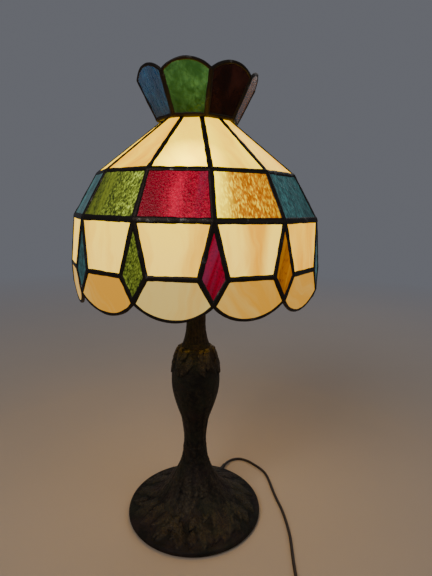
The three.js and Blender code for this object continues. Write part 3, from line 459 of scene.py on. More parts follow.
def shade_net(sizes):
    """Rings of corners of the shade, the leans of its rows and the arcs of its scallops."""
    radius = {
        "top": sizes.top_radius,
        "shoulder": sizes.shoulder_radius,
        "band": sizes.band_radius,
        "hem": sizes.hem_radius,
    }
    drop = {"top": 0, "shoulder": sizes.shoulder_drop, "band": sizes.band_drop,
        "hem": sizes.hem_drop}
    cone_lean = math.atan2(radius["shoulder"] - radius["top"], drop["shoulder"])
    band_lean = math.atan2(radius["band"] - radius["shoulder"], drop["band"] - drop["shoulder"])
    skirt_lean = math.atan2(radius["hem"] - radius["band"], drop["hem"] - drop["band"])
    top_level = heights("vase_cap")[0] - LEAD_HALF_THICK / math.sin(cone_lean) - CAP_CLEARANCE
    angle = sizes.first_corner + np.arange(SHADE_SIDES) * TURN / SHADE_SIDES
    net = {
        row: polar(radius[row] / MM, angle, top_level - drop[row] / MM) for row in ("top",
        "shoulder", "band", "hem")
    }
    waist_radius = radius["band"] + math.tan(skirt_lean) * (sizes.waist_drop - sizes.band_drop)
    waist_radius /= MM * math.cos(sizes.waist_angle)
    waist_level = top_level - sizes.waist_drop / MM
    net["left"] = polar(waist_radius, angle - sizes.waist_angle, waist_level)
    net["right"] = polar(waist_radius, angle + sizes.waist_angle, waist_level)
    net["top_level"] = top_level
    net["angle"] = angle
    net["middle"] = angle + 0.5 * TURN / SHADE_SIDES
    net["lean"] = {
        "top": cone_lean,
        "cone": cone_lean,
        "shoulder": 0.5 * (cone_lean + band_lean),
        "row": band_lean,
        "band": 0.5 * (band_lean + skirt_lean),
        "skirt": skirt_lean,
    }
    return net


def scallop(net, side, sizes, count):
    """The arc between two hem corners, in the plane of its side of the skirt."""
    after = (side + 1) % SHADE_SIDES
    start, end = net["hem"][side], net["hem"][after]
    upper = 0.5 * (net["right"][side] + net["left"][after])
    down = unit(0.5 * (start + end) - upper)
    return arc(start, end, down, sizes.scallop_drop / MM, count)


def crown_net(sizes, top_level):
    """Foot and rim corners of the crown."""
    angle = sizes.first_corner + np.arange(CROWN_SIDES) * TURN / CROWN_SIDES
    foot_level = top_level + sizes.foot_rise / MM
    foot = polar(sizes.foot_radius / MM, angle, foot_level)
    rim = polar((sizes.foot_radius + sizes.flare) / MM, angle, foot_level + sizes.height / MM)
    return {"foot": foot, "rim": rim, "angle": angle, "middle": angle + 0.5 * TURN / CROWN_SIDES}


def crown_arch(net, side, sizes, count, inwards=0.0):
    """The arc over one crown pane, in its plane, set in towards the foot."""
    after = (side + 1) % CROWN_SIDES
    up = unit(net["rim"][side] + net["rim"][after] - net["foot"][side] - net["foot"][after])
    return arc(net["rim"][side], net["rim"][after], up, sizes.arch / MM, count) - inwards * up


GLASS_RELIEF = {  # size of the ripples in millimetres across and along, and their height
    "cream": (26, 60, 0.10),
    "honey": (26, 60, 0.10),
    "teal": (4.2, 13, 0.24),
    "green": (3.4, 5.5, 0.26),
    "red": (3.0, 3.4, 0.22),
    "amber": (3.2, 9, 0.26),
    "blue": (4.5, 12, 0.26),
    "plum": (14, 30, 0.12),
}


def pane(bottom, top, thickness, kind, seed, turned=0.0, detail=34, across_tone=(0.0,)):
    """One pane between a bottom and a top curve: (1 - v) bottom(u) + v top(u), v from edge to edge.

    Both faces stand half the thickness off it, plus a ripple of sines stretched along the sheet's
    own direction. lay holds the place on the sheet, turned and shifted for each pane. tone runs
    through the values of across_tone from the left edge to the right.
    """
    v = np.linspace(PANE_EDGE, 1 - PANE_EDGE, detail)[:, None, None]
    u = np.linspace(PANE_EDGE, 1 - PANE_EDGE, detail)
    bottom, top = (
        np.stack([np.interp(u, np.linspace(0, 1, len(curve)), column) for column in curve.T], -1)
        for curve in (bottom, top)
    )
    middle = (1 - v) * bottom[None] + v * top[None]
    across = unit(bottom[-1] - bottom[0])
    normal = unit(np.cross(across, middle[-1].mean(0) - middle[0].mean(0)))
    upwards = np.cross(normal, across)
    centre = middle.mean((0, 1))
    x, y = (middle - centre) @ across, (middle - centre) @ upwards
    shift = np.random.default_rng(seed).uniform(-200, 200, 2)
    sheet_x = x * math.cos(turned) + y * math.sin(turned) + shift[0]
    sheet_y = y * math.cos(turned) - x * math.sin(turned) + shift[1]
    size_x, size_y, height = GLASS_RELIEF[kind]
    rippled = waves(np.stack([sheet_x / size_x, sheet_y / size_y], -1), 1.0, len(kind)) * height
    offset = 0.5 * thickness + 0.5 * rippled[..., None]
    lay = np.stack([sheet_x, sheet_y, np.full_like(x, seed)], -1) / CENTIMETRE
    tone = np.interp(u, np.linspace(0, 1, len(across_tone)), across_tone)
    tone = np.broadcast_to(tone, (2, detail, detail)).reshape(-1)
    return slab(middle + normal * offset, middle - normal * offset, lay, tone)


class LAMP_OT_shade_glass(bpy.types.Operator):
    """Cuts the sixty panes of the shade: cone, band, trapezoids, kites and scallops"""

    bl_idname = "lamp.shade_glass"
    bl_label = "Shade glass"

    def execute(self, context):
        sizes = context.scene.lamp_shade
        net = shade_net(sizes)
        thickness = sizes.pane_thickness / MM
        for side in range(SHADE_SIDES):
            after = (side + 1) % SHADE_SIDES
            number = f"{side + 1:02d}"
            tint = BAND_COLOURS[(side + 2) % 4]
            corner_tint = BAND_COLOURS[(side + 1) % 4]
            row = {
                key: between(net[key][side], net[key][after], 16)
                for key in ("top", "shoulder", "band")
            }
            waist = between(net["right"][side], net["left"][after], 25)
            kite_low = between(net["hem"][side], net["right"][side], 12)
            kite_high = between(net["left"][side], net["band"][side], 12)
            for kind, bottom, top, tone, turned, node, detail, across_tone in (
                ("cone", row["shoulder"], row["top"], "cream", CONE_GRAIN[side],
                 f"cone_glass_{number}", 26, CONE_TAN[side]),
                ("band", row["band"], row["shoulder"], tint, BAND_GRAIN,
                 f"band_glass_{number}_{tint}", 46, BAND_LIGHT[tint]),
                ("trapezoid", waist, row["band"], "cream", TRAPEZOID_GRAIN[side],
                 "skirt_glass", 22, TRAPEZOID_TAN[side]),
                ("scallop", scallop(net, side, sizes, 25), waist, "honey", SCALLOP_GRAIN[side],
                 "skirt_glass", 22, SCALLOP_TAN[side]),
                ("kite", kite_low, kite_high, corner_tint, KITE_GRAIN,
                 "skirt_glass", 26, KITE_LIGHT[corner_tint]),
            ):
                seed = SHEET_SEED[kind] + side
                shape = pane(bottom, top, thickness, tone, seed, turned, detail, across_tone)
                name = f"{kind}_pane_{number}"
                add_piece(name, [shape], glass_look(tone), "shade", (node,), crease=60)
        return {"FINISHED"}


# The first sheet of each kind of pane; each side's pane is cut from a sheet of its own.
SHEET_SEED = {"cone": 11, "band": 41, "trapezoid": 71, "scallop": 101, "kite": 131, "crown": 161}
# How far the streaks of each pane are turned from upright, in radians, side by side.
BAND_GRAIN, KITE_GRAIN, CROWN_GRAIN = 0.0, 1.75, 0.12
CONE_GRAIN = (0.35, 0.1, -0.25, 0.5, -0.1, 0.3, -0.4, 0.15, 0.6, -0.3, 0.2, -0.15)
TRAPEZOID_GRAIN = (0.1, -0.05, 0.02, 0.3, -0.2, 0.1, 0.25, -0.3, 0.05, 0.15, -0.1, 0.2)
SCALLOP_GRAIN = (0.0, 0.5, 1.15, 0.4, -0.6, 0.2, 0.9, -0.4, 0.3, 1.0, -0.2, 0.6)
# Share of tan from the left edge of each cream pane to the right, side by side, and the light
# that the coloured panes let through in the same way.
CONE_TAN = ((0.3, 0.1, 0.2), (0.05, 0.25, 0.1), (0.5, 0.3, 0.7), (0.2, 0.5), (0.4, 0.1), (0.3, 0.6),
            (0.7, 0.4), (0.1, 0.3), (0.5, 0.2), (0.4, 0.6), (0.3, 0.7), (0.9, 0.7, 0.8))
TRAPEZOID_TAN = ((0.15, 0.05, 0.0, 0.1, 0.45, 0.4), (0.2, 0.1, 0.1, 1.0, 1.0, 0.2, 0.0),
                 (0.8, 1.1, 0.9), (0.2, 0.1),
                 (0.5, 0.3), (0.1, 0.4, 0.1), (0.3, 0.1), (0.2, 0.7, 0.3), (0.1, 0.2), (0.4, 0.2),
                 (0.2, 0.5), (0.15, 0.0, 0.1))
SCALLOP_TAN = ((0.0, 0.1), (0.6, 1.0), (1.0, 1.2), (0.3, 0.5), (0.1, 0.3), (0.8, 0.5), (0.4, 0.4),
               (0.1, 0.0),
               (0.6, 0.7), (0.3, 0.1), (0.5, 0.5), (0.8, 1.0))
BAND_LIGHT = {"teal": (0.45, 0.3), "green": (0.1, 0.3, 0.5), "red": (0.05, 0.2, 0.65, 0.5, 0.4),
              "amber": (1.15, 0.75, 0.5, 0.4, 0.3)}
KITE_LIGHT = {"teal": (0.4, 0.4), "green": (0.3, 0.3), "red": (0.1, 0.15), "amber": (-0.25, -0.1)}
CROWN_COLOURS = ("green", "plum", "amber", "blue")
CROWN_GLASS_INSET, CROWN_LEAD_INSET = 1.4, 2.3  # from the arch over a pane towards the foot


class LAMP_OT_crown_glass(bpy.types.Operator):
    """Cuts the eight flared panes of the crown"""

    bl_idname = "lamp.crown_glass"
    bl_label = "Crown glass"

    def execute(self, context):
        sizes = context.scene.lamp_crown
        shade = context.scene.lamp_shade
        net = crown_net(sizes, shade_net(shade)["top_level"])
        for side in range(CROWN_SIDES):
            after = (side + 1) % CROWN_SIDES
            tone = CROWN_COLOURS[side % 4]
            foot = between(net["foot"][side], net["foot"][after], 25)
            arch = crown_arch(net, side, sizes, 25, CROWN_GLASS_INSET)
            seed = SHEET_SEED["crown"] + side
            shape = pane(foot, arch, shade.pane_thickness / MM, tone, seed, CROWN_GRAIN, 40)
            name = f"crown_pane_{side + 1:02d}"
            look = crown_look(tone)
            add_piece(name, [shape], look, "shade", ("crown_glass",), crease=60)
        return {"FINISHED"}


def bead(path, up, width, thickness, seed, unevenness):
    """A run of solder over a seam: an oblong outline that swells and thins as a sum of sines."""
    path = spaced(path, max(8, int(path_length(path) / 3.2)))
    swell = 1 + unevenness * waves(path, 16, seed)
    return sweep(path, oblong(width, thickness, 14), np.minimum(swell, 1.06), up)


def blob(centre, up, width, thickness):
    """A joint: a flattened ball, w cos b outwards and t sin b along its own normal."""
    rise = np.linspace(-0.5 * math.pi, 0.5 * math.pi, 9)
    profile = np.stack([0.5 * width * np.cos(rise), 0.5 * thickness * np.sin(rise)], -1)
    profile[[0, -1], 0] = 0
    return lathe(profile, 14, closed=False, axis_from=centre, axis_to=centre + up)


class LAMP_OT_leading(bpy.types.Operator):
    """Runs solder along every seam of the shade and the crown, with a joint at each corner"""

    bl_idname = "lamp.leading"
    bl_label = "Leading"

    def execute(self, context):
        lead = context.scene.lamp_lead
        main, fine, edge = (w / MM for w in (lead.main_width, lead.fine_width, lead.edge_width))
        thick = lead.thickness / MM
        sizes = context.scene.lamp_shade
        net = shade_net(sizes)
        lean = net["lean"]
        look = lead_look()

        def seam(path, up, width, seed, thinner=0.0):
            return bead(path, up, width, thick - thinner, seed, lead.unevenness)

        upper, skirt = [], []
        for side in range(SHADE_SIDES):
            after = (side + 1) % SHADE_SIDES
            at, middle = net["angle"][side], net["middle"][side]
            seed = 17 * side
            for low, high, row in (("shoulder", "top", "cone"), ("band", "shoulder", "row")):
                rib = between(net[low][side], net[high][side], 30)
                upper.append(seam(rib, leaning(at, lean[row]), main, seed + len(row)))
            for row, extra in (("top", -0.6), ("shoulder", 0.4), ("band", 0.8)):
                ring = between(net[row][side], net[row][after], 30)
                upper.append(seam(ring, leaning(middle, lean[row]), main + extra,
                    seed + 7 + len(row)))
                joint = leaning(at, lean[row])
                upper.append(blob(net[row][side], joint, 1.35 * main, thick))
            out = leaning(at, lean["skirt"])
            for key, offset in (("left", 1), ("right", 2)):
                upper_edge = between(net["band"][side], net[key][side], 30)
                lower_edge = between(net[key][side], net["hem"][side], 20)
                skirt.append(seam(upper_edge, out, fine, seed + 20 + offset, 0.1))
                skirt.append(seam(lower_edge, out, fine, seed + 30 + offset, 0.1))
                skirt.append(blob(net[key][side], out, 1.3 * fine, thick - 0.1))
            face = leaning(middle, lean["skirt"])
            waist = between(net["right"][side], net["left"][after], 30)
            skirt.append(seam(waist, face, fine, seed + 41, 0.1))
            skirt.append(seam(scallop(net, side, sizes, 60), face, edge, seed + 43, 0.4))
            skirt.append(blob(net["hem"][side], out, 1.5 * edge, thick - 0.3))
        add_piece("shade_leading", upper, look, "shade", ("shade_lead",), crease=60)
        add_piece("skirt_leading", skirt, look, "shade", ("skirt_lead",), crease=60)

        shape = context.scene.lamp_crown
        crown = crown_net(shape, net["top_level"])
        flare = -math.atan2(shape.flare, shape.height)
        leading = []
        for side in range(CROWN_SIDES):
            after = (side + 1) % CROWN_SIDES
            at, middle = crown["angle"][side], crown["middle"][side]
            out, face = leaning(at, flare), leaning(middle, flare)
            rim = crown["rim"][side] + 1.8 * unit(crown["foot"][side] - crown["rim"][side])
            leading.append(seam(between(crown["foot"][side], rim, 24), out, fine, 300 + side, 0.4))
            foot = between(crown["foot"][side], crown["foot"][after], 24)
            leading.append(seam(foot, face, fine, 320 + side, 0.4))
            arch = crown_arch(crown, side, shape, 50, CROWN_LEAD_INSET)
            leading.append(seam(arch, face, edge, 340 + side, 0.6))
            leading.append(blob(rim, out, 1.35 * edge, thick - 0.5))
            leading.append(blob(crown["foot"][side], out, 1.2 * fine, thick - 0.3))
        add_piece("crown_leading", leading, look, "shade", ("crown_lead",), crease=60)
        return {"FINISHED"}


# ---- Foot, vase and neck ----
def leaf(across, along, width, long):
    """Height of one leaf, 0 to 1, and -1 outside it; along runs from the stalk to the tip.

    Its edge stands w/2 sin(pi t^0.7) from the midrib. Inside, the blade domes as (1 - s^2)^0.5 with
    a fine raised midrib and side veins that slant forwards; s is the share of the way to the
    edge.
    """
    t = np.clip(along / long, 0, 1)
    edge = 0.5 * width * np.sin(np.pi * t**0.7) + 1e-6
    s = across / edge
    inside = (np.abs(s) < 1) & (along > 0) & (along < long)
    blade = np.sqrt(np.clip(1 - s**2, 0, 1))
    rib = np.exp(-((across / (0.055 * width)) ** 2))
    veins = np.cos(TURN * (along - 0.9 * np.abs(across)) / (0.14 * long))
    return np.where(inside, 0.62 * blade**0.7 + 0.26 * rib * blade + 0.12 * veins * blade, -1)


FOOT_LEAVES = (  # stalk radius, count, length, width, how far they lie on the others
    (73, 21, 25, 17, 0.0),
    (64, 17, 31, 19, 0.08),
    (58, 13, 30, 17, 0.16),
    (50, 12, 29, 16, 0.26),
    (41, 9, 27, 13, 0.36),
)
VASE_LEAVES = (  # stalk height above the vase's shoulder, count, length, width, overlap
    (-12, 13, 25, 15, 0.0),
    (-4, 12, 22, 13, 0.2),
    (3, 11, 18, 11, 0.36),
    (9, 9, 13, 8, 0.5),
)
TRUNK_ROOTS = ((9, 0.9), (14, -0.55), (23, 0.35))  # count and twist of each set of roots
TRUNK_SHARE = 0.468  # the trunk's radius as a share of the vase's
CAST_WALL = 4.0
STEM_BORE = 6.0
LEAST_BORE = 7.0


def foot_leaves(radius, angle):
    """The highest of all leaves at each place; leaves lie in rings and turn aside in one swirl."""
    draw = np.random.default_rng(5)
    x, y = radius * np.sin(angle), radius * np.cos(angle)
    top = np.full(radius.shape, -1.0)
    for stalk, count, long, wide, level in FOOT_LEAVES:
        start = draw.uniform(0, TURN)
        for number in range(count):
            at = start + (number + draw.uniform(-0.22, 0.22)) * TURN / count
            heading = at + draw.uniform(-0.85, 0.15)
            size = draw.uniform(0.86, 1.14)
            dx, dy = x - stalk * math.sin(at), y - stalk * math.cos(at)
            along = dx * math.sin(heading) + dy * math.cos(heading)
            across = dx * math.cos(heading) - dy * math.sin(heading)
            across = across - 0.012 * along * (long - along)  # the midrib bends
            blade = leaf(across, along, wide * size, long * size)
            lifted = blade + level + draw.uniform(0, 0.2)
            top = np.maximum(top, np.where(blade > -1, lifted, -1))
    return np.clip(top, 0, None)


def trunk_roots(angle, up):
    """Roots that twist up the trunk: the highest of |cos(n (a + twist up))|^0.8 over their sets."""
    sets = [
        np.abs(np.cos(0.5 * count * (angle + twist * up) + count)) ** 0.8 * (1 - 0.12 * index)
        for index, (count, twist) in enumerate(TRUNK_ROOTS)
    ]
    return np.maximum(sets[0], np.maximum(sets[1] * 0.9, sets[2] * 0.72))


def inner_wall(outer, wall, count):
    """The inside of a casting: the outer profile set in by the wall, from its end to its start."""
    inside = spaced(outer, count)[::-1].copy()
    inside[:, 0] = np.maximum(inside[:, 0] - wall, LEAST_BORE)
    return inside


class LAMP_OT_foot(bpy.types.Operator):
    """Models the cast foot: a low dome of overlapping leaves with roots that climb the trunk"""

    bl_idname = "lamp.foot"
    bl_label = "Foot"

    def execute(self, context):
        cast = context.scene.lamp_cast
        low, high = span("base_casting")
        radius, bottom, top = high[0], low[2], high[2]
        trunk = span("stem_vase")[1][0] * TRUNK_SHARE
        dish = ((94.6, 10.6), (87.6, 13.5), (75, 18), (63, 23.3), (53, 29.6), (44, 38),
                (36.8, 47.6),
                (30, 60.6), (22.9, 77.6), (18.6, 94), (trunk, top))
        edge = ((radius - 1.6, bottom), (radius, bottom + 1.4), (radius, 6.2), (radius - 0.8, 8.2),
            (98.6, 9.3))
        outer = spaced(through(edge + dish, 12), 184)
        r, z = outer[:, :1], outer[:, 1:]
        around = 440
        angle = round_axis(around)
        spread = smooth_step(r, 45, 62)
        up = (z - bottom) / (top - bottom)
        roots = trunk_roots(angle, up) * smooth_step(-r, -74,
            -50) * (0.45 + 0.55 * smooth_step(r, 18, 32))
        leaves = foot_leaves(r + 0 * angle, angle + 0 * r) * spread * smooth_step(-r, -99, -95)
        rough = waves(polar(r, angle, z), 9, 3, 3)
        lift = np.maximum(leaves * cast.leaf_height / MM, roots * cast.root_height / MM)
        raised = np.clip(lift / 2.6, 0, 1)
        crumpled = waves(polar(r, angle, z), 4.2, 5, 3)
        lift = lift + (0.22 * rough + 0.13 * crumpled) * smooth_step(-r, -98, -92)
        inside = np.concatenate([inner_wall(outer[14:], CAST_WALL, 22),
            [[radius - 5, 7.0], [radius - 5, bottom]]])
        inside[:, 1] -= np.where(inside[:, 0] > trunk + 2, 2.8, 0.0)
        inside[0, 1] = top
        inside[:, 1] = np.maximum(inside[:, 1], bottom)
        profile = np.concatenate([outer, inside])
        blank = np.zeros((len(inside), around))
        shape = lathe(profile, around, np.concatenate([lift, blank]),
            np.concatenate([raised, blank]))
        add_piece("foot", [shape], cast_look("foot"), "root", ("base_casting",),
            50)
        return {"FINISHED"}


class LAMP_OT_stem(bpy.types.Operator):
    """Models the vase with its collar of leaves, and the neck above it"""

    bl_idname = "lamp.stem"
    bl_label = "Vase and neck"

    def execute(self, context):
        cast = context.scene.lamp_cast
        bottom, top = heights("stem_vase")
        wide = span("stem_vase")[1][0]
        trunk = wide * TRUNK_SHARE
        shares = ((0, 1.0), (0.09, 0.988), (0.21, 1.115))
        body = ((0.295, 0.59), (0.37, 0.71), (0.467, 0.845), (0.563, 0.945), (0.66, 0.992),
                (0.743, 0.985),
                (0.833, 0.94), (0.897, 0.865), (0.953, 0.77), (1, 0.67))
        points = [(trunk * r, bottom + up * (top - bottom)) for up, r in shares]
        points += [(wide * r, bottom + up * (top - bottom)) for up, r in body]
        outer = spaced(through(points, 12), 230)
        r, z = outer[:, :1], outer[:, 1:]
        around = 340
        angle = round_axis(around)
        draw = np.random.default_rng(8)
        collar = np.full((len(outer), around), -1.0)
        for stalk, count, long, wide_leaf, level in VASE_LEAVES:
            start = draw.uniform(0, TURN)
            for number in range(count):
                at = start + (number + draw.uniform(-0.2, 0.2)) * TURN / count
                heading = draw.uniform(-0.45, 0.45)
                size = draw.uniform(0.85, 1.15)
                dx = ((angle - at + 0.5 * TURN) % TURN - 0.5 * TURN) * 31
                dy = top + stalk - 4 - z
                along = dy * math.cos(heading) + dx * math.sin(heading)
                across = dx * math.cos(heading) - dy * math.sin(heading)
                blade = leaf(across, along, wide_leaf * size, long * size)
                lifted = blade + level + draw.uniform(0, 0.15)
                collar = np.maximum(collar, np.where(blade > -1, lifted, -1))
        collar = np.clip(collar, 0, None)
        fade = smooth_step(-z, -top, -(top - 4)) * 0.9 + 0.1
        flutes = np.abs(np.cos(7 * (angle + 0.35 * (z - bottom) / 100))) ** 0.8
        plain = 1 - smooth_step(z, top - 62, top - 40)
        rough = waves(polar(r, angle, z), 8, 4, 3)
        raised = np.maximum(collar * 0.75, 0.35 * flutes * plain)
        lift = collar * cast.collar_height / MM * fade
        lift = lift + flutes * plain * cast.flute_depth / MM + 0.07 * rough
        lift *= smooth_step(z, bottom, bottom + 2)
        inside = inner_wall(outer[3:-3], CAST_WALL, 16)
        bore = [[STEM_BORE, top], [STEM_BORE, top - 8], [float(inside[0, 0]), top - 8]]
        foot = [[STEM_BORE, bottom + 8], [STEM_BORE, bottom]]
        inside = inside[(inside[:, 1] < top - 9) & (inside[:, 1] > bottom + 9)]
        profile = np.concatenate([outer, bore, inside, foot])
        blank = np.zeros((len(profile) - len(outer), around))
        shape = lathe(profile, around, np.concatenate([lift, blank]),
            np.concatenate([np.clip(raised, 0, 1), blank]))
        add_piece("vase", [shape], cast_look("vase"), "root", ("stem_vase",), 50)

        bottom, top = heights("stem_neck")
        slim = 13.4
        ends = ((0, 7.6), (0.05, 5.6), (0.13, 3.0), (0.3, 0.4), (0.5, 0.0), (0.71, 0.2),
                (0.866, 1.6),
                (0.93, 3.2), (0.955, 4.1), (0.985, 4.1), (1.0, 3.3))
        outer = spaced(through([(slim + r, bottom + up * (top - bottom)) for up, r in ends], 14),
            150)
        r, z = outer[:, :1], outer[:, 1:]
        around = 240
        angle = round_axis(around)
        flutes = np.abs(np.cos(11.0 * (angle + 0.2 * (z - bottom) / 100))) ** 0.8
        plain = smooth_step(z, bottom + 2, bottom + 12) * smooth_step(-z, -(top - 7), -(top - 16))
        rough = waves(polar(r, angle, z), 8, 6, 3)
        lift = flutes * plain * 0.9 * cast.flute_depth / MM + 0.05 * rough * plain
        profile = np.concatenate([outer, [[STEM_BORE, top], [STEM_BORE, bottom]]])
        blank = np.zeros((2, around))
        shape = lathe(profile, around, np.concatenate([lift, blank]),
            np.concatenate([0.4 * flutes * plain, blank]))
        add_piece("neck", [shape], cast_look("neck"), "root", ("stem_neck",), 50)
        return {"FINISHED"}


# ---- Hardware ----
STEM_THREAD, BULB_THREAD = 25.4 / 27, 25.4 / 7  # pitches of the pipe and the stud, and of the bulb
PIPE_HOLE = 5.5  # radius of the hole in the nut, the ring and the socket's cap
HARP_WIRE = 2.15
STRAP_MIDDLE = 1.25  # from the underside of the saddle's strap


def fitting(name, shells, metal, body, node, crease=38):
    """Adds a metal piece that stands for one node of the frame."""
    return add_piece(name, shells, metal_look(metal), body, (node,), crease)


def threaded(root, depth, low, high, pitch, around=28, per_turn=7, caps=()):
    """A screw: r = root + depth (0.5 + 0.5 cos(a - 2 pi z / pitch)), fading out at its ends."""
    rows = int((high - low) / pitch * per_turn)
    z = np.linspace(low, high, rows)[:, None]
    angle = round_axis(around)
    fade = smooth_step(z, low, low + pitch) * smooth_step(-z, -high, -(high - pitch))
    lift = depth * (0.5 + 0.5 * np.cos(angle - TURN * z / pitch)) * fade
    profile = np.concatenate([np.stack([np.full(rows, root), z[:, 0]], -1),
        np.asarray(caps, float).reshape(-1, 2)])
    lift = np.concatenate([lift, np.zeros((len(profile) - rows, around))])
    return lathe(profile, around, lift)


class LAMP_OT_stem_hardware(bpy.types.Operator):
    """Makes the felt pad and the pipe, nut, ring, saddle, harp and sleeves"""

    bl_idname = "lamp.stem_hardware"
    bl_label = "Pipe, saddle and harp"

    def execute(self, context):
        low, high = span("felt_pad")
        edge = high[0]
        felt = rounded([(0.01, low[2]), (edge, low[2]), (edge - 0.2, high[2]), (0.01, high[2])],
            0.6)
        felt = np.concatenate([[[0, low[2]]], between(np.array([8.0, low[2]]), felt[8], 12),
            felt[9:-6], [[0, high[2]]]])
        felt = felt[np.concatenate([[True], np.linalg.norm(np.diff(felt, axis=0), axis=1) > 1e-3])]
        around = 240
        angle = round_axis(around)
        fuzz = 0.12 * waves(polar(felt[:, :1], angle, felt[:, 1:]), 5, 12,
            3) * (felt[:, :1] > edge - 1.5)
        pad = lathe(felt, around, np.minimum(fuzz, 0.05), closed=False)
        add_piece("felt_sheet", [pad], grained_look("felt"), "root", ("felt_pad",))

        low, high = span("threaded_pipe")
        pipe = threaded(4.75, 0.35, low[2], high[2], STEM_THREAD, 20, 6,
            [(3.5, high[2]), (3.5, low[2])])
        fitting("pipe", [pipe], "steel", "root", "threaded_pipe")

        low, high = span("lower_nut")
        angle = round_axis(72)[0]
        half = math.pi / 6
        flats = high[0] * math.cos(half) / np.cos((angle + half) % (math.pi / 3) - half)
        corner = np.minimum(flats, 0.975 * high[0])
        rows = np.array([0.9, 0.98, 1.0, 1.0, 0.98, 0.9])[:, None]
        levels = low[2] + (high[2] - low[2]) * np.array([0, 0.06, 0.16, 0.84, 0.94, 1.0])[:, None]
        points = polar(corner[None] * rows, angle[None], levels)
        bore = polar(PIPE_HOLE, angle[None], np.array([high[2], low[2]])[:, None])
        nut = shell(np.concatenate([points, bore]), grid_quads(8, 72, True, True))
        fitting("nut", [nut], "steel", "root", "lower_nut", 25)

        low, high = span("check_ring")
        ring = rounded([(PIPE_HOLE, low[2]), (high[0], low[2]), (high[0], high[2]),
            (PIPE_HOLE, high[2])], 0.7, 6)
        knurl = 0.18 * np.abs(np.cos(45 * np.arange(360) * TURN / 360))[None]
        knurl = knurl * (ring[:, :1] > high[0] - 0.05)
        fitting("ring", [lathe(ring, 360, -knurl)], "brass", "root", "check_ring", 50)

        low, high = span("harp_saddle")
        foot_x = 26
        corner = high[2] - 12
        strap = [(-foot_x, 0, corner), (-foot_x + 3.2, 0, low[2] + 2.6),
                 (-foot_x + 8, 0, low[2] + STRAP_MIDDLE),
                 (-12, 0, low[2] + STRAP_MIDDLE), (0, 0, low[2] + STRAP_MIDDLE),
                 (12, 0, low[2] + STRAP_MIDDLE),
                 (foot_x - 8, 0, low[2] + STRAP_MIDDLE), (foot_x - 3.2, 0, low[2] + 2.6),
                 (foot_x, 0, corner)]
        path = spaced(through(strap, 12), 80)
        wide = 0.62 + 0.38 * smooth_step(-np.abs(path[:, 0]), -foot_x + 1, -foot_x + 13)
        outline = oblong(high[1] - low[1], 2.3, 28, 5)
        strap = flat_strip(path, outline, wide)
        pegs = [sweep(between(np.array([x, 0, corner - 1.0]), np.array([x, 0, high[2] - 0.2]), 12),
                      circle(HARP_WIRE, 18), np.array([1] * 10 + [0.94, 0.7]),
                      (0, 1, 0)) for x in (-foot_x, foot_x)]
        fitting("saddle", [strap, *pegs], "brass", "root", "harp_saddle", 40)

        low, high = span("harp_bow")
        half_width, foot = high[0] - 2.2, low[2]
        plate_top = heights("vase_cap")[0] - 0.3
        top = plate_top - 3.0
        shape = ((0, 0), (0, 0.07), (0, 0.15), (0.3, 0.245), (0.83, 0.37), (1, 0.51), (0.9, 0.665),
                 (0.53, 0.826), (0.13, 0.934), (-0.47, 0.985))
        spread, rise = half_width - foot_x, top - foot
        right = [(foot_x + out * spread, 0, foot + up * rise) for out, up in shape]
        bow = [(-x, y, z) for x, y, z in right] + [(0, 0, top - 0.4)] + right[::-1]
        path = spaced(through(bow, 12), 240)
        wire = sweep(path, circle(HARP_WIRE, 20), up=(0, 1, 0))
        turned = rounded([(0.01, top - 2.4), (8, top - 2.4), (8, plate_top), (0.01, plate_top)],
            0.8)
        turned = np.concatenate([[[0, top - 2.4]], turned[4:12], [[0, plate_top]]])
        plate = lathe(turned, 60, closed=False)
        stud_top = heights("finial_insert")[1] - 0.3
        stud = threaded(2.72, 0.36, plate_top - 1, stud_top, STEM_THREAD, 24, 8,
            [(2.2, stud_top), (0, stud_top), (0, plate_top - 1)])
        fitting("harp", [wire, plate, stud], "brass", "harp", "harp_bow", 45)

        for side, x in (("left", -foot_x), ("right", foot_x)):
            low, high = heights(f"harp_sleeve_{side}")
            wall = [(2.6, low), (3.25, low), (3.5, low + 1), (3.5, high - 3), (3.75, high - 2),
                (3.75, high), (2.6, high)]
            sleeve = lathe(rounded(wall, 0.3, 4), 32, axis_from=(x, 0, 0), axis_to=(x, 0, 1))
            fitting(f"sleeve_{side}", [sleeve], "brass", f"sleeve_{side}", f"harp_sleeve_{side}")
        return {"FINISHED"}


def flat_strip(path, outline, wide):
    """A strap along a path in the upright plane: its outline is as wide in Y as wide says."""
    along = unit(np.gradient(path, axis=0))
    rise = np.cross(along, (0.0, -1.0, 0.0))
    path, rise = ends_doubled(path), ends_doubled(rise)
    flat = np.concatenate([[0], np.ones(len(wide)), [0]])[:, None]
    wide = ends_doubled(wide)[:, None] * flat
    across = (outline[None, :, 0] * wide)[..., None] * np.array([0.0, 1.0, 0.0])
    points = path[:, None] + across + (outline[None, :, 1] * flat)[..., None] * rise[:, None]
    return shell(points, grid_quads(len(path), len(outline), False, True))


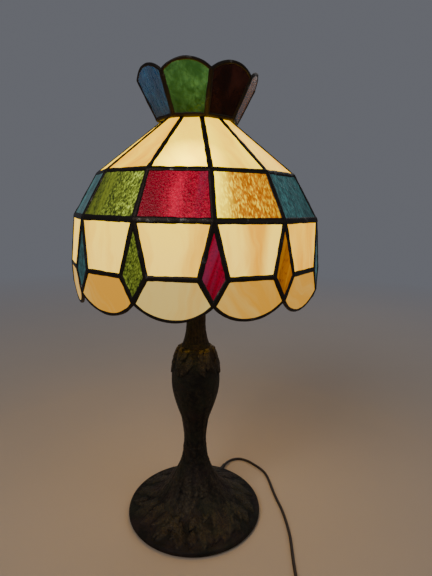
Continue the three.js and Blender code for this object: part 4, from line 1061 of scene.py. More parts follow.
class LAMP_OT_socket(bpy.types.Operator):
    """Makes the socket: cap, shell, card liner, screw shell, core and switch knob"""

    bl_idname = "lamp.socket"
    bl_label = "Socket"

    def execute(self, context):
        low, high = span("socket_cap")
        cap = [(PIPE_HOLE, low[2]), (9, low[2]), (9.2, low[2] + 1.6), (10.8, low[2] + 3),
               (14.6, low[2] + 6.6),
               (high[0] - 0.6, low[2] + 9.5), (high[0], low[2] + 10.6), (high[0], high[2]),
               (16, high[2]),
               (16, low[2] + 9.8), (13.4, low[2] + 7.2), (9, low[2] + 4), (PIPE_HOLE, low[2] + 4)]
        screw = [(0, 0), (1.6, 0), (1.6, 3.6), (1.2, 4.0), (0, 4.0)]
        spot = np.array([-9.0, 0, low[2] + 1.7])
        screw = lathe(screw, 20, closed=False, axis_from=spot, axis_to=spot - (1.0, 0, 0))
        cap = lathe(rounded(cap, 0.6, 5), 72)
        fitting("socket_base", [cap, screw], "brass", "root", "socket_cap", 45)

        low, high = span("socket_shell")
        outer, bore = high[0], high[0] - 0.5
        bottom, top = low[2], high[2]
        wall = [(outer, bottom), (outer, bottom + 26)]
        for ridge in (30, 34):
            wall += [(outer, bottom + ridge - 1.2), (outer - 0.7, bottom + ridge),
                (outer, bottom + ridge + 1.2)]
        wall += [(outer, top - 1), (outer, top), (bore - 0.4, top), (bore, top - 1), (bore, bottom)]
        rows = spaced(np.concatenate([rounded(wall[:-1], 0.4, 4), [wall[-1]]]), 150)
        tube = lathe(rows, 96)
        fitting("socket_body", [tube], "brass", "root", "socket_shell", 45)
        liner = [(bore - 0.25, bottom + 0.6), (bore - 0.25, top), (bore - 0.95, top),
            (bore - 0.95, bottom + 0.6)]
        add_piece("socket_liner", [lathe(rounded(liner, 0.2, 3), 64)], grained_look("card"), "root")

        low, high = span("screw_shell")
        root, pitch = 13.75, BULB_THREAD
        rows = int((high[2] - low[2]) / pitch * 12)
        z = np.linspace(low[2], high[2], rows)[:, None]
        angle = round_axis(64)
        fade = smooth_step(-z, -high[2], -(high[2] - 3))
        wave = 0.33 * (np.cos(angle - TURN * z / pitch) - 1) * fade
        outer_wall = polar(root + 0.55 + wave, angle, z)
        inside_wall = polar(root + 0.1 + wave, angle, z)[::-1]
        thread = shell(np.concatenate([outer_wall, inside_wall]),
            grid_quads(2 * rows, 64, True, True))
        fitting("screw_sleeve", [thread], "aluminium", "root", "screw_shell", 60)

        low, high = span("socket_core")
        core_top = high[2] - 1.6
        core = [(0.01, low[2]), (high[0], low[2]), (high[0], core_top), (3.5, core_top),
            (3.5, high[2]), (0.01, high[2])]
        core = rounded(core, 0.6, 4)
        core = np.concatenate([[[0, low[2]]], core[4:-4], [[0, high[2]]]])
        add_piece("switch_core", [lathe(core, 64, closed=False)], grained_look("plastic"), "root",
            ("socket_core",))

        low, high = span("switch_knob")
        level = 0.5 * (low[2] + high[2])
        back, front = -high[1], -low[1]
        big = high[0]
        knob = [(0, back), (2, back), (2, front - 13), (big - 1.2, front - 13),
                (big - 0.2, front - 12), (big - 0.2, front - 2.6),
                (big - 1.4, front - 0.6), (big - 2.8, front), (0, front - 0.4)]
        rows = spaced(np.asarray(knob, float), 90)
        turned = round_axis(144)
        grip = smooth_step(rows[:, :1], big - 1.6, big - 0.4) * smooth_step(rows[:, 1:],
            front - 12.6, front - 11.6)
        ribs = -0.28 * (0.5 + 0.5 * np.cos(18 * turned)) * grip
        rows[[0, -1], 0] = 0
        shape = lathe(rows, 144, ribs, closed=False, axis_from=(0, 0, level),
            axis_to=(0, -1, level))
        add_piece("knob", [shape], grained_look("plastic"), "switch",
            ("switch_knob",), 45)
        return {"FINISHED"}


class LAMP_OT_bulb(bpy.types.Operator):
    """Makes the bulb: contact, threaded cap and frosted globe"""

    bl_idname = "lamp.bulb"
    bl_label = "Bulb"

    def execute(self, context):
        low, high = span("bulb_contact")
        tip = [(0, low[2]), (2.2, low[2] + 0.1), (3.6, low[2] + 0.8), (4.1, low[2] + 1.2),
            (6.0, high[2]), (0, high[2])]
        fitting("bulb_tip", [lathe(tip, 32, closed=False)], "aluminium", "bulb_foot",
            "bulb_contact")

        low, high = span("bulb_cap")
        bottom, top, pitch = low[2], high[2], BULB_THREAD
        rows = 150
        z = np.linspace(bottom + 3.6, top, rows)[:, None]
        angle = round_axis(72)
        fade = smooth_step(-z, -(top - 1.5), -(top - 5)) * smooth_step(z, bottom + 3.6, bottom + 6)
        wave = 0.38 * (np.cos(angle - TURN * z / pitch) - 1) * fade
        body = polar(12.75 + wave, angle, z)
        ends = np.array([[0, bottom], [6.6, bottom], [7.2, bottom + 0.5], [11.8, bottom + 3.3]])
        under = polar(ends[:, :1], angle, ends[:, 1:])
        over = polar(np.array([[12.2], [0.0]]), angle, np.array([[top], [top]]))
        cap = shell(np.concatenate([under, body, over]), grid_quads(rows + 6, 72, False, True))
        fitting("bulb_screw", [cap], "aluminium", "bulb", "bulb_cap", 50)

        low, high = span("bulb_globe")
        bottom, top, wide = low[2], high[2], high[0]
        centre = top - wide
        neck = [(12.1, bottom), (12.9, bottom + 4), (14.6, bottom + 11), (19.4, bottom + 21.5),
            (26.4, centre - 13.8)]
        dome = np.linspace(-0.16, 0.5 * math.pi, 20)
        dome = np.stack([wide * np.cos(dome), centre + wide * np.sin(dome)], -1)
        dome[-1, 0] = 0
        outline = spaced(through(np.concatenate([neck, dome]), 8), 90)
        outline[-1] = (0, top)
        globe = lathe(np.concatenate([[[0, bottom]], outline]), 96, closed=False)
        add_piece("globe", [globe], bulb_look(), "bulb", ("bulb_globe",), 60)
        return {"FINISHED"}


class LAMP_OT_cap_and_finial(bpy.types.Operator):
    """Makes the vented vase cap that carries the shade, and the finial that holds it down"""

    bl_idname = "lamp.cap_and_finial"
    bl_label = "Vase cap and finial"

    def execute(self, context):
        low, high = span("vase_cap")
        edge, seat, thick = high[0], low[2], high[2] - low[2]
        hub, vents, vent_radius, ring = 3.6, 6, 4.0, 0.6 * high[0]
        count = 15  # points along each side of a sector
        half = 0.5 * TURN / vents
        inwards, outwards = np.linspace(edge, hub, count)[:-1], np.linspace(hub, edge, count)[:-1]
        radius = np.concatenate([np.full(count - 1, edge), inwards, np.full(count - 1, hub),
            outwards])
        sectors = []
        for number in range(vents):
            middle = (number + 0.5) * 2 * half + 0.5 * math.pi - half
            side = np.linspace(-half, half, count)[:-1]
            angle = middle + np.concatenate([side, np.full(count - 1, half), -side,
                np.full(count - 1, -half)])
            outline = np.stack([radius * np.cos(angle), radius * np.sin(angle)], -1)
            centre = ring * np.array([math.cos(middle), math.sin(middle)])
            hole = centre + vent_radius * unit(outline - centre)
            s = np.linspace(0, 1, 9)[:, None, None]
            plane = (1 - s) * hole + s * outline
            crease = 0.12 * np.cos(TURN * (np.linalg.norm(plane, axis=-1) - hub) / 14)
            for level in (seat + thick - 0.12, seat + 0.12):
                sectors.append(np.concatenate([plane, (level + crease)[..., None]], -1).reshape(-1,
                    3))
        rows, columns = plane.shape[:2]
        number = np.arange(rows * columns).reshape(rows, columns)
        faces = grid_quads(rows, columns, False, True)
        far = rows * columns
        hole, rim = number[0], number[-1]
        ahead, step = np.roll(hole, -1), np.roll(rim, -1)
        arcs = np.concatenate([np.arange(0, count - 1),
            np.arange(2 * (count - 1), 3 * (count - 1))])
        hole_wall = np.stack([hole, ahead, ahead + far, hole + far], -1)
        rim_wall = np.stack([step[arcs], rim[arcs], rim[arcs] + far, step[arcs] + far], -1)
        quads = np.concatenate([faces, faces[:, ::-1] + far, hole_wall[:, ::-1], rim_wall[:, ::-1]])
        every = np.concatenate([quads + 2 * far * index for index in range(vents)])
        plate = shell(np.concatenate(sectors), every)
        fitting("vented_cap", [plate], "brass", "shade", "vase_cap", 40)

        low, high = span("finial_insert")
        insert = rounded([(3.5, low[2]), (high[0], low[2]), (high[0], high[2]), (3.5, high[2])],
            0.4)
        fitting("insert", [lathe(insert, 48)], "brass", "finial_nut", "finial_insert")

        low, high = span("finial_knob")
        bottom, top, wide = low[2], high[2], high[0]
        tall = top - bottom
        outline = ((5.4, 0), (7.0, 0), (7.2, 0.03), (6.5, 0.09), (6.2, 0.13), (7.4, 0.2),
                   (8.9, 0.33),
                   (8.9, 0.45), (8.0, 0.56), (5.6, 0.64), (4.4, 0.68), (4.9, 0.73), (5.0, 0.78),
                   (4.1, 0.83),
                   (4.6, 0.88), (3.9, 0.95), (2.2, 0.99), (0, 1.0))
        outline = [(min(r, wide), bottom + up * tall) for r, up in outline]
        outer = spaced(through(outline, 8), 120)
        outer[-1] = (0, top)
        pocket = heights("finial_insert")[1] + 0.3
        inside = np.array([[0, pocket], [5.4, pocket]])
        angle = round_axis(120)
        up = (outer[:, 1:] - bottom) / tall
        lobes = -0.35 * np.abs(np.sin(5 * angle)) * smooth_step(up, 0.16, 0.26) * smooth_step(-up,
            -0.62, -0.5)
        shape = lathe(np.concatenate([inside, outer]), 120,
            np.concatenate([np.zeros((2, 120)), lobes]), closed=False)
        add_piece("finial_top", [shape], cast_look("finial"), "finial",
            ("finial_knob",), 45)
        return {"FINISHED"}


# ---- Cord ----
CORD_EXIT_ANGLE = math.radians(152.2)
CORD_EXIT_LEVEL = 5.6
BUSHING_TIP = 114.0
BUSHING_LENGTH = 24.0
CORD_ROUTE = (  # the free stretch on the table, from the strain relief to the coil
    (61.5, 113.5, 4.0), (71, 122, 2.6), (84, 124.5, 2.1), (98.5, 117, 2.1), (109, 105.5, 2.1),
    (118, 94, 2.1), (124, 82.5, 2.1), (127.3, 69, 2.1), (129.2, 52, 2.1), (130.8, 31.5, 2.1),
    (133.4, 10, 2.1), (136.4, -9, 2.1), (138, -31, 2.1), (138.3, -51, 2.1), (137.8, -67, 2.1),
    (136, -85, 2.1), (134, -102, 2.1), (132.4, -118, 2.1), (131, -135, 2.1), (130.3, -152, 2.1),
    (129.8, -170, 2.5),
)
COIL_ENTRY = (129.4, -190.7, 3.0)
COIL_CENTRE_Y = -191.0
TAIL_REACH, TAIL_DROP = 46.0, 8.5
PLUG_LEVEL = 7.0


def exit_point(distance, level):
    return polar(distance, CORD_EXIT_ANGLE, level)


def coil_path(cord, spare):
    """The spare length in layers: x = c + r cos a, y = c + r sin a, with a falling from 0.

    r swings in and out once for every two layers as a rounded triangle wave, and each layer's end
    climbs one pitch over a seventh of a turn.
    """
    pitch = cord.pitch / MM
    middle = spare / (TURN * cord.turns)
    swing = 0.5 * cord.turns / cord.layers * pitch
    s = np.linspace(0, cord.turns, int(cord.turns * 30) + 1)
    layer = s * cord.layers / cord.turns
    radius = middle + swing * (2 / math.pi) * np.arcsin(0.985 * np.cos(math.pi * layer)) / 0.89
    climb = sum(smooth_step(layer, k - 0.07, k + 0.07) for k in range(1, cord.layers))
    centre_x = COIL_ENTRY[0] - radius[0]
    level = COIL_ENTRY[2] + pitch * climb
    angle = -TURN * s
    return np.stack([centre_x + radius * np.cos(angle), COIL_CENTRE_Y + radius * np.sin(angle),
        level], -1)


class LAMP_OT_cord(bpy.types.Operator):
    """Lays the mains cord along the table into its coil, with strain relief, tie and plug"""

    bl_idname = "lamp.cord"
    bl_label = "Cord and plug"

    def execute(self, context):
        cord = context.scene.lamp_cord
        radius = cord.radius / MM
        run = through([exit_point(BUSHING_TIP, CORD_EXIT_LEVEL), *CORD_ROUTE, COIL_ENTRY], 12)
        spare = cord.length / MM - path_length(run) - math.hypot(TAIL_REACH, TAIL_DROP)
        coil = coil_path(cord, spare)
        start = coil[-1]
        end = np.array([start[0] - TAIL_REACH, start[1], PLUG_LEVEL])
        dip = np.array([0.25 * TAIL_REACH, 0, 0.08 * TAIL_DROP])
        tail = through([start, start - dip, 0.5 * (start + end), end + dip, end], 6)
        path = np.concatenate([run, coil[1:], tail[1:]])
        look = grained_look("cord")
        flex = add_piece("mains_cord", [sweep(path, circle(radius, 12))], look, "root",
                         ("cord_run", "cord_coil", "cord_tail"), 60)

        held = [exit_point(d, z) for d, z in ((113.7, 5.6), (90, 5.6), (72, 5.6), (50, 7), (30, 14),
            (13, 32), (3, 58))]
        held += [(0, 0, z) for z in (84, 120, 268, heights("inner_cord")[1])]
        inner = through(np.asarray(held, float), 10)
        add_piece("held_cord", [sweep(inner, circle(radius, 12),
                  up=exit_point(1, 0)[[1, 0, 2]] * (-1, 1, 1))],
                  look, "root", ("inner_cord",), 60)

        wall, tip_wall = 1.0, 0.5
        bore = radius + 0.3
        s = np.linspace(0, BUSHING_LENGTH, 140)
        ring = 0.5 + 0.5 * np.cos(TURN * s / 2.4)
        free = smooth_step(s, 12.6, 13.6) * smooth_step(-s, -23.4, -22.6)
        slim = wall + (tip_wall - wall) * smooth_step(s, 11, BUSHING_LENGTH)
        outer = np.stack([bore + slim - 0.32 * ring * free, s], -1)
        profile = np.concatenate([outer, [[bore, BUSHING_LENGTH], [bore, 0]]])
        origin = exit_point(BUSHING_TIP - BUSHING_LENGTH, CORD_EXIT_LEVEL)
        relief = lathe(profile, 32, axis_from=origin,
            axis_to=exit_point(BUSHING_TIP, CORD_EXIT_LEVEL))
        add_piece("strain_relief", [relief], grained_look("plastic"), "root",
            ("cord_bushing",), 40)

        low, high = span("cord_tie")
        x = 0.5 * (low[0] + high[0])
        sides = [(low[1] + 0.3, low[2] + 0.3), (high[1] - 0.3, low[2] + 0.3),
            (high[1] - 0.3, high[2] - 0.3), (low[1] + 0.3, high[2] - 0.3)]
        loop = rounded(sides, 3.2, 10)
        loop = np.stack([np.full(len(loop), x), loop[:, 0], loop[:, 1]], -1)
        loop = loop[np.linalg.norm(loop - np.roll(loop, 1, axis=0), axis=1) > 1e-6]
        tie = add_piece("tie", [sweep(loop, oblong(0.56, high[0] - low[0] - 0.1, 20, 4),
                        up=(1, 0, 0), closed=True)],
                        grained_look("plastic"), "root", ("cord_tie",), 60)

        low, high = span("plug_body")
        s = np.linspace(0, 1, 90)
        half_width = 0.5 * (high[1] - low[1]) * np.interp(s,
            (0, 0.04, 0.3, 0.52, 0.72, 0.78, 0.95, 1),
            (0.36, 0.42, 0.5, 0.7, 0.9, 0.985, 1.0, 0.95))
        half_thick = 0.5 * (high[2] - low[2]) * np.interp(s, (0, 0.04, 0.3, 0.6, 0.78, 0.95, 1),
            (0.42, 0.5, 0.62, 0.84, 0.98, 1.0, 0.94))
        grip = 0.35 * (0.5 - 0.5 * np.cos(TURN * s * 12)) * smooth_step(s, 0.3,
            0.36) * smooth_step(-s, -0.72, -0.66)
        outline = oblong(2, 2, 48, 3.4)
        centre = np.array([0, 0.5 * (low[1] + high[1]), PLUG_LEVEL])
        axis = centre + np.stack([high[0] - s * (high[0] - low[0]), 0 * s, 0 * s], -1)
        across = (outline[None, :, :1] * (half_width - grip)[:, None, None]) * np.array([0, 1, 0])
        upright = (outline[None, :, 1:] * (half_thick - 0.5 * grip)[:, None, None]) * np.array([0,
            0, 1])
        body = axis[:, None] + across + upright
        body = np.concatenate([np.repeat(axis[:1, None], 48, 1), body,
            np.repeat(axis[-1:, None], 48, 1)])
        shape = shell(body, grid_quads(92, 48, False, True))
        plug = add_piece("plug", [shape], grained_look("plastic"), "root",
            ("plug_body",), 40)
        for side in ("left", "right"):
            low, high = span(f"plug_blade_{side}")
            level = 0.5 * (low + high)
            middle = between(np.array([high[0] + 0.3, level[1], level[2]]),
                np.array([low[0], level[1], level[2]]), 40)
            s = np.linspace(0, 1, 40)
            taper = 1 - 0.28 * smooth_step(s, 0.88, 1.0)
            blade = sweep(middle, oblong(high[1] - low[1], high[2] - low[2], 24, 8), taper,
                (0, 0, 1))
            fitting(f"blade_{side}", [blade], "brass", "root", f"plug_blade_{side}",
                40)
        return {"FINISHED"}


# ---- Shader nodes ----
def join(tree, node, inputs):
    """Gives a node its inputs: each value is either a socket to join or a constant to set."""
    for key, value in inputs.items():
        if isinstance(value, bpy.types.NodeSocket):
            tree.links.new(value, node.inputs[key])
        else:
            node.inputs[key].default_value = value


def put(tree, kind, inputs=None, **settings):
    """Adds a shader node with its settings and its inputs."""
    node = tree.nodes.new("ShaderNode" + kind)
    for key, value in settings.items():
        setattr(node, key, value)
    join(tree, node, inputs or {})
    return node


def rgba(value):
    return (*value, 1.0)


def mixed(tree, factor, a, b, mode="MIX"):
    node = put(tree, "Mix", {0: factor, 6: a, 7: b}, data_type="RGBA", blend_type=mode)
    return node.outputs[2]


def tinted(tree, a, b):
    """One colour times another."""
    return mixed(tree, 1.0, a, b, "MULTIPLY")


def reckon(tree, operation, a, b, clamp=False):
    return put(tree, "Math", {0: a, 1: b}, operation=operation, use_clamp=clamp).outputs[0]


def added(tree, a, b, clamp=False):
    return reckon(tree, "ADD", a, b, clamp)


def times(tree, a, b):
    return reckon(tree, "MULTIPLY", a, b)


def ranged(tree, value, low, high, to_low=0.0, to_high=1.0):
    inputs = {"Value": value, "From Min": low, "From Max": high, "To Min": to_low,
        "To Max": to_high}
    return put(tree, "MapRange", inputs).outputs[0]


def stretched(tree, vector, scale, turned=0.0):
    return put(tree, "Mapping",
        {"Vector": vector, "Scale": scale, "Rotation": (0, 0, turned)}).outputs[0]


def noise(tree, vector, scale, detail=3.0, roughness=0.55, distortion=0.0):
    inputs = {"Vector": vector, "Scale": scale, "Detail": detail, "Roughness": roughness,
        "Distortion": distortion}
    return put(tree, "TexNoise", inputs).outputs["Fac"]


def place(tree):
    return put(tree, "TexCoord").outputs["Object"]


def distance_from(tree, point):
    inputs = {0: place(tree), 1: point}
    return put(tree, "VectorMath", inputs, operation="DISTANCE").outputs["Value"]


def carried(tree, name, output):
    return put(tree, "Attribute", attribute_name=name).outputs[output]


def effect(name, inputs, outputs, build):
    """A shader node group, made once: build(tree, inputs) returns its output sockets in order."""
    group = bpy.data.node_groups.get(name)
    if group:
        return group
    group = bpy.data.node_groups.new(name, "ShaderNodeTree")
    for label, kind, value in inputs:
        socket = group.interface.new_socket(name=label, in_out="INPUT",
            socket_type="NodeSocket" + kind)
        if value is not None:
            socket.default_value = value
    for label, kind in outputs:
        group.interface.new_socket(name=label, in_out="OUTPUT", socket_type="NodeSocket" + kind)
    start = group.nodes.new("NodeGroupInput")
    end = group.nodes.new("NodeGroupOutput")
    for socket, target in zip(build(group, start.outputs), end.inputs):
        group.links.new(socket, target)
    return group


def apply_effect(tree, group, inputs):
    return put(tree, "Group", inputs, node_tree=group).outputs


def finish_of(name, build):
    """A material, made once: build(tree, shader) joins its nodes to the Principled shader."""
    look = bpy.data.materials.get(name)
    if look:
        return look
    look = bpy.data.materials.new(name)
    look.use_nodes = True
    tree = look.node_tree
    tree.nodes.clear()
    shader = put(tree, "BsdfPrincipled")
    put(tree, "OutputMaterial", {"Surface": shader.outputs[0]})
    build(tree, shader)
    return look


def bump(tree, height, strength, distance):
    inputs = {"Height": height, "Strength": strength, "Distance": distance}
    return put(tree, "Bump", inputs).outputs[0]


# ---- Shared effects ----
BULB_CENTRE = (0.0, 0.0, 0.468)


def bulb_glow():
    """Light by distance from the bulb: Near and warm close by, 1 at Knee, and Least at Far."""

    def build(tree, given):
        away = distance_from(tree, BULB_CENTRE)
        inner = ranged(tree, away, 0.1, given["Knee"], given["Near"], 1.0)
        outer = ranged(tree, away, given["Knee"], given["Far"], 1.0, given["Least"])
        close = times(tree, ranged(tree, away, 0.140, 0.17, 1.0, 0.0), given["Warmth"])
        warm = mixed(tree, close, (1, 1, 1, 1), (1.0, 1.03, 0.0, 1))
        return [tinted(tree, warm, times(tree, inner, outer))]

    inputs = [("Near", "Float", 1.4), ("Knee", "Float", 0.168), ("Far", "Float", 0.21),
              ("Least", "Float", 0.3),
              ("Warmth", "Float", 0.0)]
    return effect("bulb glow", inputs, [("Light", "Color")], build)


def opal_streaks():
    """Soft streaks along a sheet: stretched noise, warped by broader noise, as two masks."""

    def build(tree, given):
        lay = given["Sheet"]
        warp = put(tree, "CombineXYZ", {0: times(tree, noise(tree, lay, 0.16, 2), 5.0)}).outputs[0]
        bent = put(tree, "VectorMath", {0: lay, 1: warp}, operation="ADD").outputs[0]
        fine = noise(tree, stretched(tree, bent, (0.8, 0.09, 1)), 1.0, 4, 0.55)
        broad = noise(tree, stretched(tree, bent, (0.24, 0.06, 1)), 1.0, 2, 0.5)
        return [ranged(tree, fine, 0.35, 0.65), ranged(tree, broad, 0.35, 0.65)]

    outputs = [("Streak", "Float"), ("Cloud", "Float")]
    return effect("opal streaks", [("Sheet", "Vector", None)], outputs, build)


def rolled_texture():
    """The surface of rolled glass: cells and ripples along the sheet, as light and height."""

    def build(tree, given):
        lay = put(tree, "VectorMath", {0: given["Sheet"], 1: given["Grain"]},
            operation="MULTIPLY").outputs[0]
        ripple = noise(tree, lay, 1.0, 3, 0.6, 0.6)
        cell = put(tree, "TexVoronoi", {"Vector": lay, "Scale": 1.7, "Randomness": 1.0},
            feature="SMOOTH_F1").outputs["Distance"]
        both = added(tree, times(tree, ripple, 1.1), times(tree, cell, -0.5))
        light = ranged(tree, both, 0.12, 0.52)
        return [light, both]

    inputs = [("Sheet", "Vector", None), ("Grain", "Vector", (3.0, 1.5, 1.0))]
    return effect("rolled texture", inputs, [("Light", "Float"), ("Height", "Float")], build)


def patina():
    """Patina on cast metal: dark recesses, brown faces and rubbed heights, with drifting tints."""

    def build(tree, given):
        at = place(tree)
        broad = noise(tree, at, 26.0, 3, 0.6)
        fine = noise(tree, at, 210.0, 5, 0.65)
        speck = noise(tree, at, 900.0, 3, 0.6)
        raised = added(tree, given["Relief"], ranged(tree, fine, 0.35, 0.65, -0.32, 0.32))
        skin = mixed(tree, ranged(tree, raised, 0.05, 0.42), given["Dark"], given["Brown"])
        skin = mixed(tree, ranged(tree, raised, 0.45, 0.90), skin, given["Rubbed"])
        green = ranged(tree, broad, 0.48, 0.66, 0.0, 0.45)
        skin = mixed(tree, green, skin, (0.024, 0.030, 0.016, 1))
        plum = ranged(tree, noise(tree, stretched(tree, at, (1, 1, 1), 1.1), 34.0, 2), 0.50, 0.68,
            0.0, 0.45)
        skin = mixed(tree, plum, skin, (0.034, 0.018, 0.018, 1))
        rough = ranged(tree, added(tree, raised, times(tree, speck, 0.3)), 0.1, 1.1, 0.66, 0.46)
        lumps = noise(tree, at, 95.0, 4, 0.7)
        height = added(tree, times(tree, fine, 0.7), times(tree, speck, 0.2))
        height = added(tree, height, times(tree, lumps, 1.4))
        metal = ranged(tree, raised, 0.0, 0.9, 0.15, 0.5)
        return [skin, rough, metal, height]

    inputs = [("Dark", "Color", None), ("Brown", "Color", None), ("Rubbed", "Color", None),
        ("Relief", "Float", 0.3)]
    outputs = [("Color", "Color"), ("Roughness", "Float"), ("Metallic", "Float"),
        ("Height", "Float")]
    return effect("cast patina", inputs, outputs, build)


def tarnish():
    """Dull bloom, fine scratches and a drifting tone for plated and spun metal."""

    def build(tree, given):
        at = place(tree)
        bloom = noise(tree, at, 70.0, 5, 0.62)
        scratch = noise(tree, stretched(tree, at, (1, 1, 14)), 260.0, 2)
        dulled = ranged(tree, bloom, 0.42, 0.72)
        skin = mixed(tree, times(tree, dulled, 0.75), given["Bright"], given["Dull"])
        rough = ranged(tree, added(tree, dulled, scratch), 0.2, 1.5, 0.22, 0.52)
        return [skin, rough, added(tree, scratch, times(tree, bloom, 0.5))]

    inputs = [("Bright", "Color", None), ("Dull", "Color", None)]
    outputs = [("Color", "Color"), ("Roughness", "Float"), ("Height", "Float")]
    return effect("tarnish", inputs, outputs, build)


def fine_grain():
    """Moulded or pressed surface: fine noise and faint marks, as tone, roughness and height."""

    def build(tree, given):
        at = place(tree)
        grain = put(tree, "TexNoise",
            {"Vector": at, "Scale": given["Scale"], "Detail": 4.0, "Roughness": 0.6}).outputs["Fac"]
        marks = noise(tree, at, 60.0, 3)
        skin = mixed(tree, ranged(tree, grain, 0.3, 0.7), given["Low"], given["High"])
        rough = ranged(tree, added(tree, grain, marks), 0.7, 1.3, given["Rough"],
            added(tree, given["Rough"], 0.18))
        return [skin, rough, grain]

    inputs = [("Scale", "Float", 900.0), ("Low", "Color", None), ("High", "Color", None),
        ("Rough", "Float", 0.4)]
    outputs = [("Color", "Color"), ("Roughness", "Float"), ("Height", "Float")]
    return effect("fine grain", inputs, outputs, build)


# ---- Finishes ----
ROLLED_GRAIN = {"teal": (2.9, 1.1, 1), "green": (3.6, 2.2, 1), "red": (4.2, 3.8, 1),
    "amber": (3.6, 1.3, 1)}
ROLLED_TONES = {  # in the shadows, on the faces and in the glints of the rolled surface
    "teal": ((0.008, 0.026, 0.028), (0.014, 0.046, 0.048), (0.04, 0.14, 0.14)),
    "green": ((0.016, 0.026, 0.003), (0.090, 0.112, 0.012), (0.55, 0.72, 0.08)),
    "red": ((0.150, 0.001, 0.006), (0.270, 0.001, 0.014), (0.55, 0.003, 0.034)),
    "amber": ((0.340, 0.085, 0.000), (0.540, 0.170, 0.000), (1.5, 1.15, 0.0)),
}
WISP_TONES = {
    "teal": (0.04, 0.12, 0.12), "green": (0.20, 0.24, 0.02), "red": (0.22, 0.025, 0.075),
    "amber": (0.85, 0.34, 0.0),
}
OPAL_STRENGTH = {"cream": 1.9, "honey": 0.85}
GLARE_ACROSS, GLARE_UP = 0.64, 0.12  # shares of the front cone pane's width and height


def glare_spot():
    """Where the bulb shines through strongest: low on the front cone pane, right of its middle."""
    net = shade_net(bpy.context.scene.lamp_shade)
    low = 0.36 * net["shoulder"][0] + GLARE_ACROSS * net["shoulder"][1]
    high = 0.36 * net["top"][0] + GLARE_ACROSS * net["top"][1]
    return tuple((0.88 * low + GLARE_UP * high) * MM)


def glass_look(tone):
    """Lit glass of the shade: opal cream, or coloured glass with a rolled surface."""
    glass = bpy.context.scene.lamp_glass

    def opal(tree, shader):
        lay = carried(tree, "lay", "Vector")
        streak, cloud = apply_effect(tree, opal_streaks(), {"Sheet": lay})
        glow = apply_effect(tree, bulb_glow(),
            {"Near": 1.5, "Knee": 0.170, "Far": 0.24, "Least": 0.75, "Warmth": 1.0})[0]
        near_glare = distance_from(tree, glare_spot())
        glare = ranged(tree, near_glare, 0.004, 0.045, 2.6, 1.0)
        drift = times(tree, added(tree, reckon(tree, "SUBTRACT", streak, 1.0), cloud), 0.45)
        tan = added(tree, carried(tree, "tone", "Fac"), drift, clamp=True)
        pale, dark = (glass.cream, glass.tan) if tone == "cream" else (glass.honey_pale,
            glass.honey_tan)
        body = mixed(tree, tan, rgba(pale), rgba(dark))
        lit = tinted(tree, tinted(tree, body, glow), glare)
        skin = tinted(tree, body, (0.22, 0.24, 0.28, 1))
        join(tree, shader, {
            "Base Color": skin, "Roughness": 0.26, "Coat Weight": 0.05, "Coat Roughness": 0.08,
            "Specular IOR Level": 0.12, "Emission Color": lit,
            "Emission Strength": OPAL_STRENGTH[tone] * glass.glow,
            "Normal": bump(tree, noise(tree, lay, 1.2, 2), 0.25, 0.0006),
        })

    def rolled(tree, shader):
        lay = carried(tree, "lay", "Vector")
        light, height = apply_effect(tree, rolled_texture(),
            {"Sheet": lay, "Grain": ROLLED_GRAIN[tone]})
        glow = apply_effect(tree, bulb_glow(),
            {"Near": 1.3, "Knee": 0.150, "Far": 0.208, "Least": 0.75})[0]
        sheet = noise(tree, stretched(tree, lay, (0.35, 0.10, 1)), 1.0, 3)
        level = added(tree, carried(tree, "tone", "Fac"),
            ranged(tree, sheet, 0.3, 0.7, -0.22, 0.22))
        deep, base, pale = ROLLED_TONES[tone]
        body = mixed(tree, ranged(tree, light, 0.0, 0.5), rgba(deep), rgba(base))
        body = mixed(tree, times(tree, ranged(tree, light, 0.5, 1.0),
                     ranged(tree, level, 0.05, 0.85)),
                     body, rgba(pale))
        body = mixed(tree, ranged(tree, level, 0.55, 1.0, 0.0, 0.85), body, rgba(pale))
        wisp = ranged(tree, noise(tree, stretched(tree, lay, (0.8, 0.04, 1)), 1.0, 2), 0.54, 0.66,
            0.0, 0.75)
        wisp = times(tree, wisp, ranged(tree, level, 0.12, 0.42, 1.0, 0.1))
        body = mixed(tree, wisp, body, rgba(WISP_TONES[tone]))
        lit = tinted(tree, tinted(tree, body, glow), ranged(tree, level, -0.5, 1.1, 0.3, 1.9))
        join(tree, shader, {
            "Base Color": tinted(tree, body, (0.12, 0.12, 0.12, 1)), "Roughness": 0.15,
            "Coat Weight": 0.05, "Coat Roughness": 0.05, "Specular IOR Level": 0.2,
            "Emission Color": lit,
            "Emission Strength": glass.glow, "Normal": bump(tree, height, 0.6, 0.0008),
        })

    return finish_of(f"{tone} glass", opal if tone in OPAL_STRENGTH else rolled)


CROWN_TINTS = {  # clear tint, deeper tint, and how far light comes straight through
    "blue": ((0.004, 0.13, 0.42), (0.002, 0.030, 0.12), (2.4, 0.8, 1)),
    "green": ((0.15, 0.42, 0.17), (0.05, 0.17, 0.05), (1.4, 1.2, 1)),
    "plum": ((0.045, 0.016, 0.016), (0.014, 0.006, 0.006), (0.5, 0.3, 1)),
    "amber": ((0.26, 0.12, 0.03), (0.10, 0.04, 0.008), (2.6, 1.0, 1)),
}


